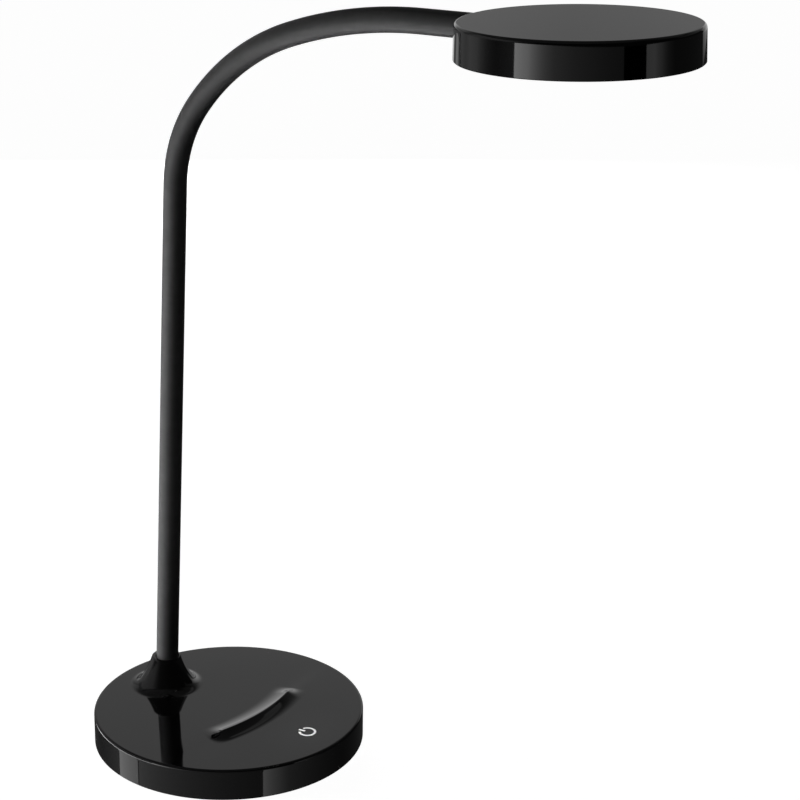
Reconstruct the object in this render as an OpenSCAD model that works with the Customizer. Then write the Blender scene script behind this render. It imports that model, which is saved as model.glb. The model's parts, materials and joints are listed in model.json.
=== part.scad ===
// Gooseneck desk lamp with a round weighted base and a flat round head.
// Millimetres. +Z is up and +X points from the neck's foot towards the head.
// The origin is the middle of the base's underside, on the desk.

/* [Base] */
// Diameter of the round base
base_d = 160; // [152:1:176]
// Height of the base's flat top above the desk
base_h = 19.3; // [18.8:0.1:23]
// Height of the cover's rim above the desk
rim_h = 0.6; // [0.4:0.1:1]
// Rounding of the base's upper edge
base_edge_r = 1.5; // [0.8:0.1:2]
// Wall of the moulded base cover
cover_wall = 2.2; // [1.8:0.1:2.6]
// Thickness of the bottom pan
pan_t = 2.2; // [2:0.1:2.6]
// Thickness of the foam pad
pad_t = 1.5; // [1:0.1:2]
// Thickness of the steel ballast disc
weight_t = 7; // [6:0.1:7.3]
// Distance of the pan screws from the base's rim
screw_inset = 10; // [9:0.5:11]
// Distance of the touch mark from the base's rim
mark_inset = 22.3; // [20:0.1:26]

/* [Neck collar] */
// Height of the collar above the base's top
collar_h = 18.5; // [14:0.5:22]
// Least wall of the collar at its lip
collar_lip_wall = 0.85; // [0.8:0.05:1.6]
// Steepness of the collar at its lip, in degrees
collar_lip_angle = 72.6; // [68:0.2:80]
// Steepness of the collar where its foot fillet starts, in degrees
collar_foot_angle = 55.4; // [48:0.2:62]
// Radius of the fillet between the collar and the base's top
collar_fillet = 8; // [4:0.5:10]

/* [Phone ridge] */
// Distance of the ridge's crest in front of the base's centre
ridge_x = 24.8; // [20:0.2:30]
// Radius on which the crest bows
ridge_bow_r = 120; // [90:5:200]
// Width over which the ridge has its full height
ridge_w = 64; // [50:1:72]
// Length of the slope at each of its ends
ridge_fade = 8; // [5:0.5:10]
// Height of the crest
ridge_h = 3; // [2:0.1:4]
// Run of the steep slope towards the neck
ridge_back = 5; // [3:0.5:7]
// Run of the hollow slope in front of the crest
ridge_front = 9.5; // [7:0.5:12]

/* [Neck] */
// Distance of the neck behind the base's centre
neck_offset = 49; // [44:0.5:51]
// Lean of the upright stretch towards the head, in degrees
neck_lean = 2.77; // [1:0.1:3.5]
// Length of the upright stretch above the base's top
neck_straight = 313.5; // [260:1:360]
// Radius of the tight first bend
bend_1_r = 82; // [60:1:90]
// Turn of the first bend, in degrees
bend_1_angle = 35.1; // [30:0.1:38]
// Radius of the second bend
bend_2_r = 140.8; // [110:1:160]
// Turn of the second bend, in degrees
bend_2_angle = 32.4; // [28:0.1:35]
// Radius of the wide third bend
bend_3_r = 271; // [230:1:300]
// Turn of the third bend, in degrees
bend_3_angle = 18.25; // [16:0.25:22]
// Straight length between the third bend and the head's rim
neck_tail = 30; // [28:1:40]
// Outer diameter of the silicone sleeve
sleeve_d = 13.2; // [12.8:0.1:13.6]
// Wall of the silicone sleeve
sleeve_wall = 0.9; // [0.7:0.05:1]
// Height of the first bending point above the base's top
first_bend_at = 52; // [45:1:60]
// Angle that each bending point can turn either way, in degrees
bend_limit = 15; // [10:1:15]
// Pitch of the core's coils
coil_pitch = 3.4; // [3:0.1:4]
// Height of the crests of the coils above the core tube
coil_depth = 0.5; // [0.3:0.05:0.6]
// Diameter of each insulated lead in the neck
lead_d = 1.3; // [1:0.1:1.4]

/* [Head] */
// Diameter of the head at its bottom edge
head_d = 121.3; // [114:1:140]
// Thickness of the head
head_h = 18.2; // [17.4:0.1:20]
// Rounding of the head's upper edge
head_edge_r = 2; // [1:0.1:2.4]
// Inward draft of the head's side from bottom to top
head_draft = 0.45; // [0.2:0.05:0.8]
// Wall of the head's side
head_wall = 2.2; // [1.8:0.1:2.6]
// Thickness of the head's top
head_top_t = 1.6; // [1.4:0.1:1.8]
// Depth of the neck's axis below the head's top
neck_drop = 7.25; // [7.2:0.05:7.9]
// Visible width of the bezel round the diffuser
bezel_w = 5; // [3.5:0.5:7]
// Thickness of the bezel
bezel_t = 1; // [0.8:0.1:1.2]
// Thickness of the opal diffuser
diffuser_t = 1; // [0.8:0.1:1.2]
// Thickness of the light guide
guide_t = 2.3; // [2:0.1:2.4]
// Number of LED chips round the guide
led_count = 36; // [24:2:42]

/* [Power inlet] */
// Diameter of the inlet's barrel
jack_bore_d = 5.6; // [5.5:0.1:5.8]
// Diameter of the inlet's centre pin
jack_pin_d = 2.1; // [1.7:0.1:2.5]
// Length of the inlet housing
jack_l = 11.5; // [10.5:0.5:13]

/* [Hidden] */
$fn = 64;

fit = 0.1;          // gap between rigid pieces that seat in each other
loose = 0.2;        // gap where a piece is dropped in
touch = 0.02;       // gap between faces that rest on each other
thread_gap = 0.05;  // gap round a screw's thread
tip_room = 0.8;     // depth of a screw hole past the screw's tip
fused = 0.5;        // how far a boss reaches into the wall that carries it
past = 1;           // how far a cut reaches past the surface it opens
eps = 0.01;

gloss_black = "#141416";
sleeve_black = "#1d1d1f";
foam_grey = "#2b2b2d";
steel = "#a8abb0";
plated = "#c9ccd1";

// ---- heights in the base, counted from the desk
base_r = base_d / 2;
ceiling = base_h - cover_wall;              // underside of the cover's top
pan_top = pad_t + pan_t;
weight_top = pan_top + weight_t;
pan_r = base_r - cover_wall - loose;
pad_inset = 5.5;
pad_r = base_r - pad_inset;
screw_circle = base_r - screw_inset;
boss_r = 3.5;
boss_room = 1;
boss_rib = 1.2;
pan_screw_r = 1.25;
pan_head_r = 2.6;
pan_head_h = 1.2;
pan_screw_l = 7;                            // how far its thread goes into the boss

// radius and angle of each ballast screw; the rear one stands between the neck and the middle
weight_screws_at = [[36, 60], [14, 180], [36, 300]];
weight_screw_r = 2;
weight_head_r = 3.6;
weight_head_h = 1.4;
weight_screw_l = 5;                         // how far its thread goes into the ballast

// ---- neck foot, on the axis of the collar
neck_x = -neck_offset;
stud_r = 5;
flange_r = 10;
flange_t = 2;
barrel_r = sleeve_d / 2 + 0.4;
barrel_top = base_h - 1.6;
socket_from = -4.4;                         // bottom of the core's socket, as a neck length
slot_z = weight_top + flange_t + loose;     // floor of the slot for the leads
slot_h = lead_d + 0.9;
washer_t = 0.6;
nut_t = 3;
nut_across = 17;
nut_room_r = 11;
washer_r = 9.6;
nut_room_h = washer_t + nut_t + loose;      // recess in the ballast's underside
nut_room_top = pan_top + nut_room_h;

// ---- collar
sleeve_r = sleeve_d / 2;
collar_bore_r = sleeve_r + loose;           // the bore leans with the neck, so the lip is thinnest in front
collar_lip_r = collar_bore_r + collar_h * tan(neck_lean) + collar_lip_wall;
lip_chamfer = collar_lip_wall / 2;
arc_steps = 8;                              // facets along each arc of the collar's side

// ---- neck core
core_r = sleeve_r - sleeve_wall - 0.5;
core_bore_r = 2.4;
ball_r = core_r - 0.5;
cup_r = ball_r + fit;
ball_cut = 3.2;                             // where the ball is cut off for the leads
// room that lets the end face of a run tilt to the limit without touching the run before it
tilt_gap = (core_r * sin(bend_limit) + 0.3) / cos(bend_limit);
coil_w = 2.1;                               // width of one coil's crest
coil_room = 0.4;                            // between a coil and the plain band beside it
ball_band = 2;                              // plain band above a run's ball
cup_band = 5;                               // plain band round its cup
bridged = 0.3;                              // how far the tube and its bore stop short of a stretch's end
lead_r = lead_d / 2;
lead_y = lead_r + 0.2;                      // each lead's distance from the neck's axis
lead_apart = lead_d + 0.5;                  // between the middles of two leads on their way
plug_run = 4.5;                             // where a lead rises to the board, before its plug
plug_lift = 0.6;                            // its height over the board there

// ---- the neck's centreline: its stretches' lengths, radii (0 where straight) and angles
upright = 90 - neck_lean;
function arc_length(r, angle) = r * angle * PI / 180;
LENGTHS = [neck_straight, arc_length(bend_1_r, bend_1_angle), arc_length(bend_2_r, bend_2_angle),
    arc_length(bend_3_r, bend_3_angle), neck_tail + head_d / 2];
RADII = [0, bend_1_r, bend_2_r, bend_3_r, 0];
ANGLES = [0, bend_1_angle, bend_2_angle, bend_3_angle, 0];
stretches = len(LENGTHS);
function sum_to(list, n) = n <= 0 ? 0 : list[n - 1] + sum_to(list, n - 1);
// where stretch i starts, its heading there, and the point there as [x, z]
function start_of(i) = sum_to(LENGTHS, i);
function heading_of(i) = upright - sum_to(ANGLES, i);
function point_of(i) = i == 0 ? [neck_x, base_h] : step(point_of(i - 1), i - 1, LENGTHS[i - 1]);
function step(from, i, run) = RADII[i] == 0
    ? from + run * [cos(heading_of(i)), sin(heading_of(i))]
    : from + RADII[i] * [sin(heading_of(i)) - sin(heading_of(i) - degrees(run, i)),
                         cos(heading_of(i) - degrees(run, i)) - cos(heading_of(i))];
function degrees(run, i) = RADII[i] == 0 ? 0 : run / RADII[i] * 180 / PI;
function stretch_at(l, i = 4) = i == 0 || l >= start_of(i) ? i : stretch_at(l, i - 1);
function point_at(l) = let(i = stretch_at(l)) step(point_of(i), i, l - start_of(i));
function heading_at(l) = let(i = stretch_at(l)) heading_of(i) - degrees(l - start_of(i), i);

head_rise = heading_of(4);                  // the head is level with the neck's last stretch
rim_at = start_of(4) + neck_tail;           // where the neck meets the head's rim
// The neck bends at eight points: four spread over the upright stretch, and one in the middle of
// each stretch after it. Sleeve and leads are parted between them, so no part crosses a stretch's end.
bends = 8;
upright_bends = 4;
bend_pitch = (neck_straight - first_bend_at) / (upright_bends - 0.5);
function parted(k) = k <= upright_bends ? first_bend_at + (k - 0.5) * bend_pitch
    : k == bends ? rim_at : start_of(k - 3);
function bend_at(k) = k <= upright_bends ? first_bend_at + (k - 1) * bend_pitch
    : (parted(k - 1) + parted(k)) / 2;

// ---- head, in a frame whose origin is the middle of its top face
head_r = head_d / 2;
head_mid_r = head_r - head_draft / 2;
head_top_r = head_r - head_draft;
head_in_r = head_top_r - head_wall;         // the inside is straight
bezel_top = -head_h + loose + bezel_t;
diffuser_top = bezel_top + diffuser_t;
guide_top = diffuser_top + guide_t;
sheet_top = guide_top + 0.4;                // top of the reflector sheet, the ring and the strip
ring_out_r = head_in_r - loose;
ring_w = 4.6;
ring_in_r = ring_out_r - ring_w;
strip_t = 0.25;
led_t = 0.8;
led_w = 3.5;
led_h = 1.8;
guide_r = ring_in_r - strip_t - led_t - loose;
ring_gap = 8;                               // half the gap in the ring where the neck comes in
ring_screw_circle = ring_out_r - ring_w / 2 - 0.1;
ring_screw_r = 0.8;
ring_head_r = 1.7;
ring_head_h = 1.2;
ring_screw_l = 4.6;                         // how far its thread goes into the boss
ring_boss_r = 3.2;

// ---- end fitting in the head, from the rim inwards along the neck
cup_wall = 0.7;
cup_from = rim_at + (head_mid_r - head_in_r) + loose;
cup_l = 4.6;
cup_end = cup_from + cup_l;
core_end = cup_end - 1.2;                   // the core stops on the cup's floor
pin_r = 3.9;
pin_l = 15;
pin_end = cup_end + pin_l;
cradle_at = cup_end + 3;                    // where the cradle starts, as a neck length
cradle_l = 9;
cradle_w = 24;
strap_t = 0.7;
strap_l = 7;
strap_screw_y = 8;
strap_screw_r = 1;
strap_head_r = 2;
strap_head_h = 1.2;
strap_screw_l = 4;                          // how far its thread goes into the cradle

// ---- power inlet, on the rear wall
jack_w = 9;
jack_h = 10;
jack_z = pan_top + jack_h / 2 + fit;
jack_nose_r = 4;
jack_front = -base_r + 0.4;                 // the nose stands just inside the base's outline
jack_box = jack_front + cover_wall + 0.3;   // front of the square housing, behind the wall
jack_back = jack_box + jack_l;
jack_floor = 2.5;                           // thickness of the housing behind the barrel
jack_depth = jack_l - jack_floor;
pin_recess = 1.2;                           // the pin stands back from the nose's face
weight_r = min(screw_circle - boss_r - boss_room, -jack_back - 0.4);

// ---- control board, hung from the cover
mark_x = base_r - mark_inset;
board_l = 36;
board_w = 26;
board_t = 1.6;
spring_h = 2.8;
spring_r = 3;
spring_wire_r = 0.25;
board_top = ceiling - spring_h;
board_bottom = board_top - board_t;
board_inset = 25;                           // from the base's rim to the board's middle
board_x = base_r - board_inset;
post_dx = board_l / 2 - 3;
post_r = 2.6;
board_screw_r = 0.9;
board_head_r = 1.8;
board_head_h = 0.9;
board_screw_l = 2.8;                        // how far its thread goes into the post
plug_l = 5;
plug_w = 4.6;
plug_h = 2.3;
plug_y = 6.6;
plug_x = board_x - board_l / 2 + 0.6;       // face where the leads plug in
floor_z = weight_top + lead_r + loose;      // height at which the leads lie on the ballast

// ================= the neck's path =================

// places its children on the neck's centreline, with +Z along it and +X on the inside of the bends
module on_neck(l) {
    p = point_at(l);
    translate([p[0], 0, p[1]]) rotate([0, 90 - heading_at(l), 0]) children();
}

// sweeps a flat shape along the neck between two lengths, straight runs and arcs in turn; it may stop
// short of each stretch's end, where something else bridges it
module swept(from, to, short = 0) {
    for (i = [0 : stretches - 1]) {
        a = i == 0 ? from : max(from, start_of(i) + short);
        b = i == stretches - 1 ? to : min(to, start_of(i + 1) - short);
        if (b - a > eps && RADII[i] == 0)
            on_neck(a) linear_extrude(b - a) children();
        if (b - a > eps && RADII[i] > 0)
            on_neck(a) translate([RADII[i], 0, 0]) rotate([90, 0, 180])
                rotate_extrude(angle = degrees(b - a, i), $fn = 360)
                    translate([RADII[i], 0]) mirror([1, 0]) children();
    }
}

module in_head() {
    p = point_of(4);
    translate([p[0], 0, p[1]]) rotate([0, -head_rise, 0])
        translate([neck_tail + head_mid_r, 0, neck_drop]) children();
}

// ================= general shapes =================

module ring(r_out, r_in, h) {
    difference() {
        cylinder(r = r_out, h = h);
        translate([0, 0, -past]) cylinder(r = r_in, h = h + 2 * past);
    }
}

// a screw with its head below z = 0 and its shank above
module screw(head_r, head_h, r, l) {
    difference() {
        translate([0, 0, -head_h]) cylinder(r = head_r, h = head_h);
        translate([0, 0, -head_h - eps]) cylinder(r = head_r * 0.45, h = head_h * 0.6, $fn = 6);
    }
    translate([0, 0, -eps]) cylinder(r = r, h = l + eps);
}

// a round wire through a list of points; it never runs along the direction up
module wire(points, r, sides = 8, up = [0, 0, 1]) {
    n = len(points);
    function unit(v) = v / norm(v);
    function ahead(i) = unit(points[min(i + 1, n - 1)] - points[max(i - 1, 0)]);
    function side(i) = unit(cross(ahead(i), up));
    rings = [for (i = [0 : n - 1]) let(u = side(i), v = cross(ahead(i), u))
        for (k = [0 : sides - 1]) points[i] + r * (cos(k * 360 / sides) * u + sin(k * 360 / sides) * v)];
    walls = [for (i = [0 : n - 2]) for (k = [0 : sides - 1])
        let(a = i * sides + k, b = i * sides + (k + 1) % sides) [a + sides, b + sides, b, a]];
    ends = [[for (k = [0 : sides - 1]) k], [for (k = [sides - 1 : -1 : 0]) (n - 1) * sides + k]];
    polyhedron(points = rings, faces = concat(walls, ends), convexity = 6);
}

// points on a smooth curve through a few chosen ones
function curve(p, steps) = [for (i = [0 : len(p) - 2]) for (k = [0 : (i == len(p) - 2 ? steps : steps - 1)])
    let(t = k / steps, a = p[max(i - 1, 0)], b = p[i], c = p[i + 1], d = p[min(i + 2, len(p) - 1)])
    0.5 * ((2 * b) + (c - a) * t + (2 * a - 5 * b + 4 * c - d) * t * t + (3 * b - a - 3 * c + d) * t * t * t)];

// ================= base =================

module foot_pad() color(foam_grey) cylinder(r = pad_r, h = pad_t, $fn = 180);

function pan_screw_angles() = [45, 135, 225, 315];

module at_pan_screws(z) {
    for (a = pan_screw_angles())
        rotate(a) translate([screw_circle, 0, z]) children();
}

module at_weight_screws(z) {
    for (at = weight_screws_at)
        rotate(at[1]) translate([at[0], 0, z]) children();
}

module base_pan() color(gloss_black) difference() {
    translate([0, 0, pad_t]) cylinder(r = pan_r, h = pan_t, $fn = 180);
    at_pan_screws(pad_t - past) {
        cylinder(r = pan_screw_r + fit, h = pan_t + 2 * past);
        cylinder(r = pan_head_r + fit, h = past + pan_head_h + fit);
    }
    at_weight_screws(pad_t - past) {
        cylinder(r = weight_screw_r + fit, h = pan_t + 2 * past);
        cylinder(r = weight_head_r + fit, h = past + weight_head_h + fit);
    }
}

module pan_screws() color(steel)
    at_pan_screws(pad_t + pan_head_h + fit)
        screw(pan_head_r, pan_head_h, pan_screw_r, pan_t - pan_head_h - fit + pan_screw_l);

module base_weight() color(steel) difference() {
    translate([0, 0, pan_top]) cylinder(r = weight_r, h = weight_t, $fn = 180);
    translate([neck_x, 0, pan_top - past]) cylinder(r = stud_r + fit, h = weight_t + 2 * past);
    translate([neck_x, 0, pan_top - past]) cylinder(r = nut_room_r, h = past + nut_room_h);
    at_weight_screws(pan_top - past)
        cylinder(r = weight_screw_r + thread_gap, h = past + weight_screw_l + tip_room);
}

module weight_screws() color(steel)
    at_weight_screws(pad_t + weight_head_h + fit)
        screw(weight_head_r, weight_head_h, weight_screw_r, pan_t - weight_head_h - fit + weight_screw_l);

// an arc of a moulded profile, going down and outwards from one steepness to another
function flare(from, r, steep_0, steep_1, steps) = [for (i = [0 : steps])
    let(a = steep_0 + (steep_1 - steep_0) * i / steps)
    from + r * [sin(steep_0) - sin(a), cos(steep_0) - cos(a)]];

// outer side of the collar as [radius, height above the base's top], from the lip down
collar_slope_h = collar_h - collar_fillet * (1 - cos(collar_foot_angle));
collar_slope_r = collar_slope_h / (cos(collar_foot_angle) - cos(collar_lip_angle));
collar_slope = flare([collar_lip_r, collar_h], collar_slope_r, collar_lip_angle, collar_foot_angle, arc_steps);
collar_foot = flare(collar_slope[arc_steps], collar_fillet, collar_foot_angle, 0, arc_steps);

// the same side set in by the wall, for the hollow of the collar
inner_slope = flare([collar_lip_r, collar_h] - cover_wall * [sin(collar_lip_angle), cos(collar_lip_angle)],
    collar_slope_r + cover_wall, collar_lip_angle, collar_foot_angle, arc_steps);
inner_foot = flare(inner_slope[arc_steps], collar_fillet + cover_wall, collar_foot_angle, 0, arc_steps);

module collar_body() translate([neck_x, 0, base_h])
    rotate_extrude($fn = 120)
        polygon(concat([[0, collar_h]], collar_slope, [for (i = [1 : arc_steps]) collar_foot[i]],
            [[collar_foot[arc_steps][0], -fused], [0, -fused]]));

module collar_hollow() {
    lip_at = collar_h / cos(neck_lean);     // the lip's height as a neck length
    translate([neck_x, 0, base_h]) rotate_extrude($fn = 120)
        polygon(concat([[0, inner_slope[0][1]]], inner_slope, [for (i = [1 : arc_steps]) inner_foot[i]],
            [[inner_foot[arc_steps][0], -cover_wall - past], [0, -cover_wall - past]]));
    on_neck(-cover_wall) cylinder(r = collar_bore_r, h = lip_at + cover_wall + past);
    // the chamfer round the bore's mouth
    on_neck(lip_at - lip_chamfer)
        cylinder(r1 = collar_bore_r, r2 = collar_bore_r + 2 * lip_chamfer, h = 2 * lip_chamfer);
}

// the ridge that keeps a phone or a pen from sliding: a steep slope behind a bowed crest and a
// hollow slope in front of it, dying away at both ends
module phone_ridge() {
    sunk = 0.03;                            // the slopes' feet lie just under the base's top
    root = -1;
    half = asin(ridge_w / 2 / ridge_bow_r);
    fade = ridge_fade / ridge_bow_r * 180 / PI;
    angles = concat([for (i = [0 : 5]) -half - fade * (1 - i / 6)], [for (i = [0 : 12]) -half + half * i / 6],
        [for (i = [1 : 6]) half + fade * i / 6]);
    function ease(t) = t * t * (3 - 2 * t);
    function height(a) = ridge_h * (0.05 + 0.95 * ease(min(1, max(0, (half + fade - abs(a)) / fade))));
    section = concat([[-ridge_back, 0], [-ridge_back * 0.75, 0.08], [-ridge_back * 0.3, 0.68], [-0.5, 0.94],
        [0, 1]], [for (t = [0.05, 0.2, 0.4, 0.6, 0.8, 1]) [ridge_front * t, (1 - t) * (1 - t)]]);
    m = len(section) + 2;
    function ring_at(a) = concat([[ridge_bow_r - ridge_back, root]],
        [for (p = section) [ridge_bow_r + p[0], p[1] * height(a) - sunk]],
        [[ridge_bow_r + ridge_front, root]]);
    points = [for (a = angles) for (p = ring_at(a)) [p[0] * cos(a), p[0] * sin(a), p[1]]];
    n = len(angles);
    walls = [for (i = [0 : n - 2]) for (k = [0 : m - 1])
        let(a = i * m + k, b = i * m + (k + 1) % m) [a, a + m, b + m, b]];
    ends = [[for (k = [0 : m - 1]) k], [for (k = [m - 1 : -1 : 0]) (n - 1) * m + k]];
    translate([ridge_x - ridge_bow_r, 0, base_h]) polyhedron(points = points, faces = concat(walls, ends));
}

module base_cover() color(gloss_black) difference() {
    union() {
        difference() {
            rotate_extrude($fn = 240) {
                polygon(concat([[0, rim_h], [base_r, rim_h]],
                    [for (i = [0 : 6]) [base_r - base_edge_r * (1 - cos(i * 15)),
                                        base_h - base_edge_r * (1 - sin(i * 15))]],
                    [[0, base_h]]));
            }
            translate([0, 0, rim_h - past])
                cylinder(r = base_r - cover_wall, h = ceiling - rim_h + past, $fn = 240);
        }
        collar_body();
        phone_ridge();
        at_pan_screws(pan_top) {
            cylinder(r = boss_r, h = ceiling - pan_top + fused);
            // a rib ties each boss to the side wall
            translate([0, -boss_rib / 2, boss_room])
                cube([screw_inset - cover_wall + fused, boss_rib, ceiling - pan_top - boss_room + fused]);
        }
        at_board_screws(board_top) cylinder(r = post_r, h = spring_h + fused);
    }
    collar_hollow();
    at_pan_screws(pan_top - past) cylinder(r = pan_screw_r + thread_gap, h = past + pan_screw_l + tip_room);
    at_board_screws(board_top - past)
        cylinder(r = board_screw_r + thread_gap, h = past + board_screw_l + tip_room);
    translate([-base_r - past, 0, jack_z]) rotate([0, 90, 0])
        cylinder(r = jack_nose_r + fit, h = cover_wall + 2 * past);
}

// ================= neck foot =================

// the sleeve's lower end, where its low edge rests on the barrel
sleeve_from = -(base_h - barrel_top) / cos(neck_lean) + sleeve_r * tan(neck_lean) + touch;
sleeve_to = cup_from - fit;

module neck_foot() color(plated) difference() {
    translate([neck_x, 0, 0]) union() {
        translate([0, 0, pan_top + loose]) cylinder(r = stud_r, h = weight_top - pan_top);
        translate([0, 0, weight_top]) cylinder(r = flange_r, h = flange_t);
        translate([0, 0, weight_top]) cylinder(r = barrel_r, h = barrel_top - weight_top);
    }
    on_neck(socket_from) cylinder(r = core_r + fit, h = -socket_from + past);
    // chamber and side slot for the leads
    translate([neck_x, 0, slot_z]) cylinder(r = core_bore_r, h = barrel_top - slot_z);
    translate([neck_x, -lead_y - lead_r - loose, slot_z])
        cube([flange_r, 2 * (lead_y + lead_r + loose), slot_h]);
}

module neck_washer() color(plated) translate([neck_x, 0, nut_room_top - washer_t])
    ring(washer_r, stud_r + fit, washer_t);

module neck_nut() color(plated) translate([neck_x, 0, nut_room_top - washer_t - nut_t]) difference() {
    cylinder(r = nut_across / 2 / cos(30), h = nut_t, $fn = 6);
    translate([0, 0, -past]) cylinder(r = stud_r + thread_gap, h = nut_t + 2 * past);
}

// ================= electrics in the base =================

module at_board_screws(z) {
    for (side = [-1, 1])
        translate([board_x + side * post_dx, 0, z]) children();
}

module control_board() color("#1f5c35") difference() {
    translate([board_x - board_l / 2, -board_w / 2, board_bottom]) cube([board_l, board_w, board_t]);
    at_board_screws(board_bottom - past) cylinder(r = board_screw_r + fit, h = board_t + 2 * past);
}

module board_parts() {
    for (side = [-1, 1])
        color("ivory") translate([plug_x, side * plug_y - plug_w / 2, board_top]) cube([plug_l, plug_w, plug_h]);
    // coil, capacitor and diode on top, chips underneath
    color("#3a3a3c") translate([board_x - 5, 8.4, board_top]) cylinder(r = 3, h = 2.2);
    color("#b9832f") translate([board_x - 7, -9.6, board_top]) cube([4, 2.6, 1.9]);
    color("#222222") translate([board_x + 5, 7.4, board_top]) cube([4.3, 2.6, 1.6]);
    color("#222222") translate([board_x - 2.5, -2, board_bottom - 1.2]) cube([5, 4, 1.2]);
    color("#222222") translate([board_x + 6, 3.6, board_bottom - 1]) cube([3, 3, 1]);
}

module board_screws() color(steel)
    at_board_screws(board_bottom) screw(board_head_r, board_head_h, board_screw_r, board_t + board_screw_l);

module touch_spring() color("#c08a4a") {
    turns = 4;
    steps = 14;
    low = board_top + spring_wire_r + touch;
    high = ceiling - spring_wire_r - touch;
    wire([for (i = [0 : turns * steps]) let(t = i / (turns * steps), r = spring_r * (1 - 0.27 * t))
        [mark_x + r * cos(i * 360 / steps), r * sin(i * 360 / steps), low + (high - low) * t]],
        spring_wire_r, 6);
}

// lies along the inlet's axis, x counted from the nose's face, drawn as a cylinder along +Z
module along_jack(x) translate([jack_front + x, 0, jack_z]) rotate([0, 90, 0]) children();

module power_jack() color("#1a1a1a") difference() {
    union() {
        along_jack(0) cylinder(r = jack_nose_r, h = cover_wall + past);
        translate([jack_box, -jack_w / 2, jack_z - jack_h / 2]) cube([jack_l, jack_w, jack_h]);
    }
    along_jack(-past) cylinder(r = jack_bore_d / 2, h = jack_depth + past);
    along_jack(0) cylinder(r = jack_pin_d / 2 + touch, h = jack_depth + jack_floor / 2 + touch);
}

module jack_pin() color(plated) along_jack(pin_recess)
    cylinder(r = jack_pin_d / 2, h = jack_depth + jack_floor / 2 - pin_recess);

// leads run from the rear over the ballast, round the neck's flange, up to their plug
module power_leads() color("#8e1f1f") {
    z0 = jack_z + jack_h / 2 - 1;
    apart = lead_apart * [0.5, 0.87, 0];
    clear = flange_r + 4;
    for (k = [0, 1])
        wire(concat([[jack_back + touch, -2, z0] + k * [0, lead_apart, 0]],
            curve([[jack_back + 1.2, -2, z0] + k * [0, lead_apart, 0], [jack_back + 4.5, -5.5, z0] + k * [1.6, 1.6, 0],
                [neck_x - 3, -clear, floor_z + 0.6] + k * apart, [neck_x + 12, -clear + 1, floor_z] + k * apart,
                [0, -9.6, floor_z] + k * apart, [plug_x - 14, -7.6, floor_z] + k * apart,
                [plug_x - plug_run, -plug_y - 0.9, board_top + plug_lift] + k * [0, lead_apart, 0],
                [plug_x - touch, -plug_y - 0.9, board_top + plug_h / 2] + k * [0, lead_apart, 0]], 3)), lead_r);
}

module lamp_leads() color("#3b3b3b") {
    z = slot_z + lead_r + loose;
    top = point_at(sleeve_from - lead_r * tan(neck_lean) - touch);
    bend = 2;
    for (side = [-1, 1]) {
        y = side * lead_y;
        wire(concat([[top[0], y, top[1]]],
            [for (a = [0 : 22.5 : 90]) [neck_x + bend * (1 - cos(a)), y, z + bend * (1 - sin(a))]],
            curve([[neck_x + flange_r / 2, y, z], [neck_x + flange_r + 1, y, z],
                [neck_x + 22, y + 3, floor_z], [5, y + 6, floor_z], [plug_x - 12, y + plug_y, floor_z],
                [plug_x - plug_run, y + plug_y, board_top + plug_lift],
                [plug_x - touch, y + plug_y, board_top + plug_h / 2]], 3)),
            lead_r, up = [0, 1, 0]);
    }
}

// ================= gooseneck =================

// A run of coiled steel core. The ball at its lower end sits in the cup at the upper end of the run
// before it. Where a run crosses from one stretch into the next, a coil bridges the two.
module core(from, to, ball = true, cup = true) color(steel) difference() {
    tube_from = ball ? from + tilt_gap : from;
    coils_from = tube_from + ball_band + coil_room + coil_w / 2;
    coils_to = to - cup_band - coil_room - coil_w / 2;
    joins = [for (i = [1 : stretches - 1]) if (start_of(i) > from && start_of(i) < coils_to) start_of(i)];
    anchor = len(joins) > 0 ? joins[0] : coils_from;
    first = ceil((coils_from - anchor) / coil_pitch);
    last = floor((coils_to - anchor) / coil_pitch);
    union() {
        swept(tube_from, to, bridged) circle(r = core_r - coil_depth);
        for (i = [first : last])
            on_neck(anchor + i * coil_pitch) translate([0, 0, -coil_w / 2]) cylinder(r = core_r, h = coil_w);
        // plain bands that carry the ball and the cup
        on_neck(tube_from) cylinder(r = core_r, h = ball_band);
        on_neck(to) translate([0, 0, -cup_band]) cylinder(r = core_r, h = cup_band);
        if (ball) on_neck(from) difference() {
            sphere(r = ball_r);
            translate([0, 0, -ball_cut - ball_r]) cylinder(r = ball_r, h = ball_r);
        }
    }
    swept(from - ball_r - past, to + past, bridged) circle(r = core_bore_r);
    // a relief in the bore under the coil that bridges two stretches
    for (at = joins)
        on_neck(at) translate([0, 0, -2 * bridged]) cylinder(r = core_bore_r + loose, h = 4 * bridged);
    if (cup) on_neck(to) sphere(r = cup_r);
}

module core_0() core(socket_from + touch, bend_at(1), ball = false);
module core_1() core(bend_at(1), bend_at(2));
module core_2() core(bend_at(2), bend_at(3));
module core_3() core(bend_at(3), bend_at(4));
module core_4() core(bend_at(4), bend_at(5));
module core_5() core(bend_at(5), bend_at(6));
module core_6() core(bend_at(6), bend_at(7));
module core_7() core(bend_at(7), bend_at(8));
module core_8() core(bend_at(8), core_end, cup = false);

// lengths that meet end to end stand apart by a hair, so that they share no volume
module sleeve(k) color(sleeve_black)
    swept(k == 1 ? sleeve_from : parted(k - 1) + touch, k == bends ? sleeve_to : parted(k))
        difference() {
            circle(r = sleeve_r);
            circle(r = sleeve_r - sleeve_wall);
        }

module sleeve_1() sleeve(1);
module sleeve_2() sleeve(2);
module sleeve_3() sleeve(3);
module sleeve_4() sleeve(4);
module sleeve_5() sleeve(5);
module sleeve_6() sleeve(6);
module sleeve_7() sleeve(7);
module sleeve_8() sleeve(8);

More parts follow.
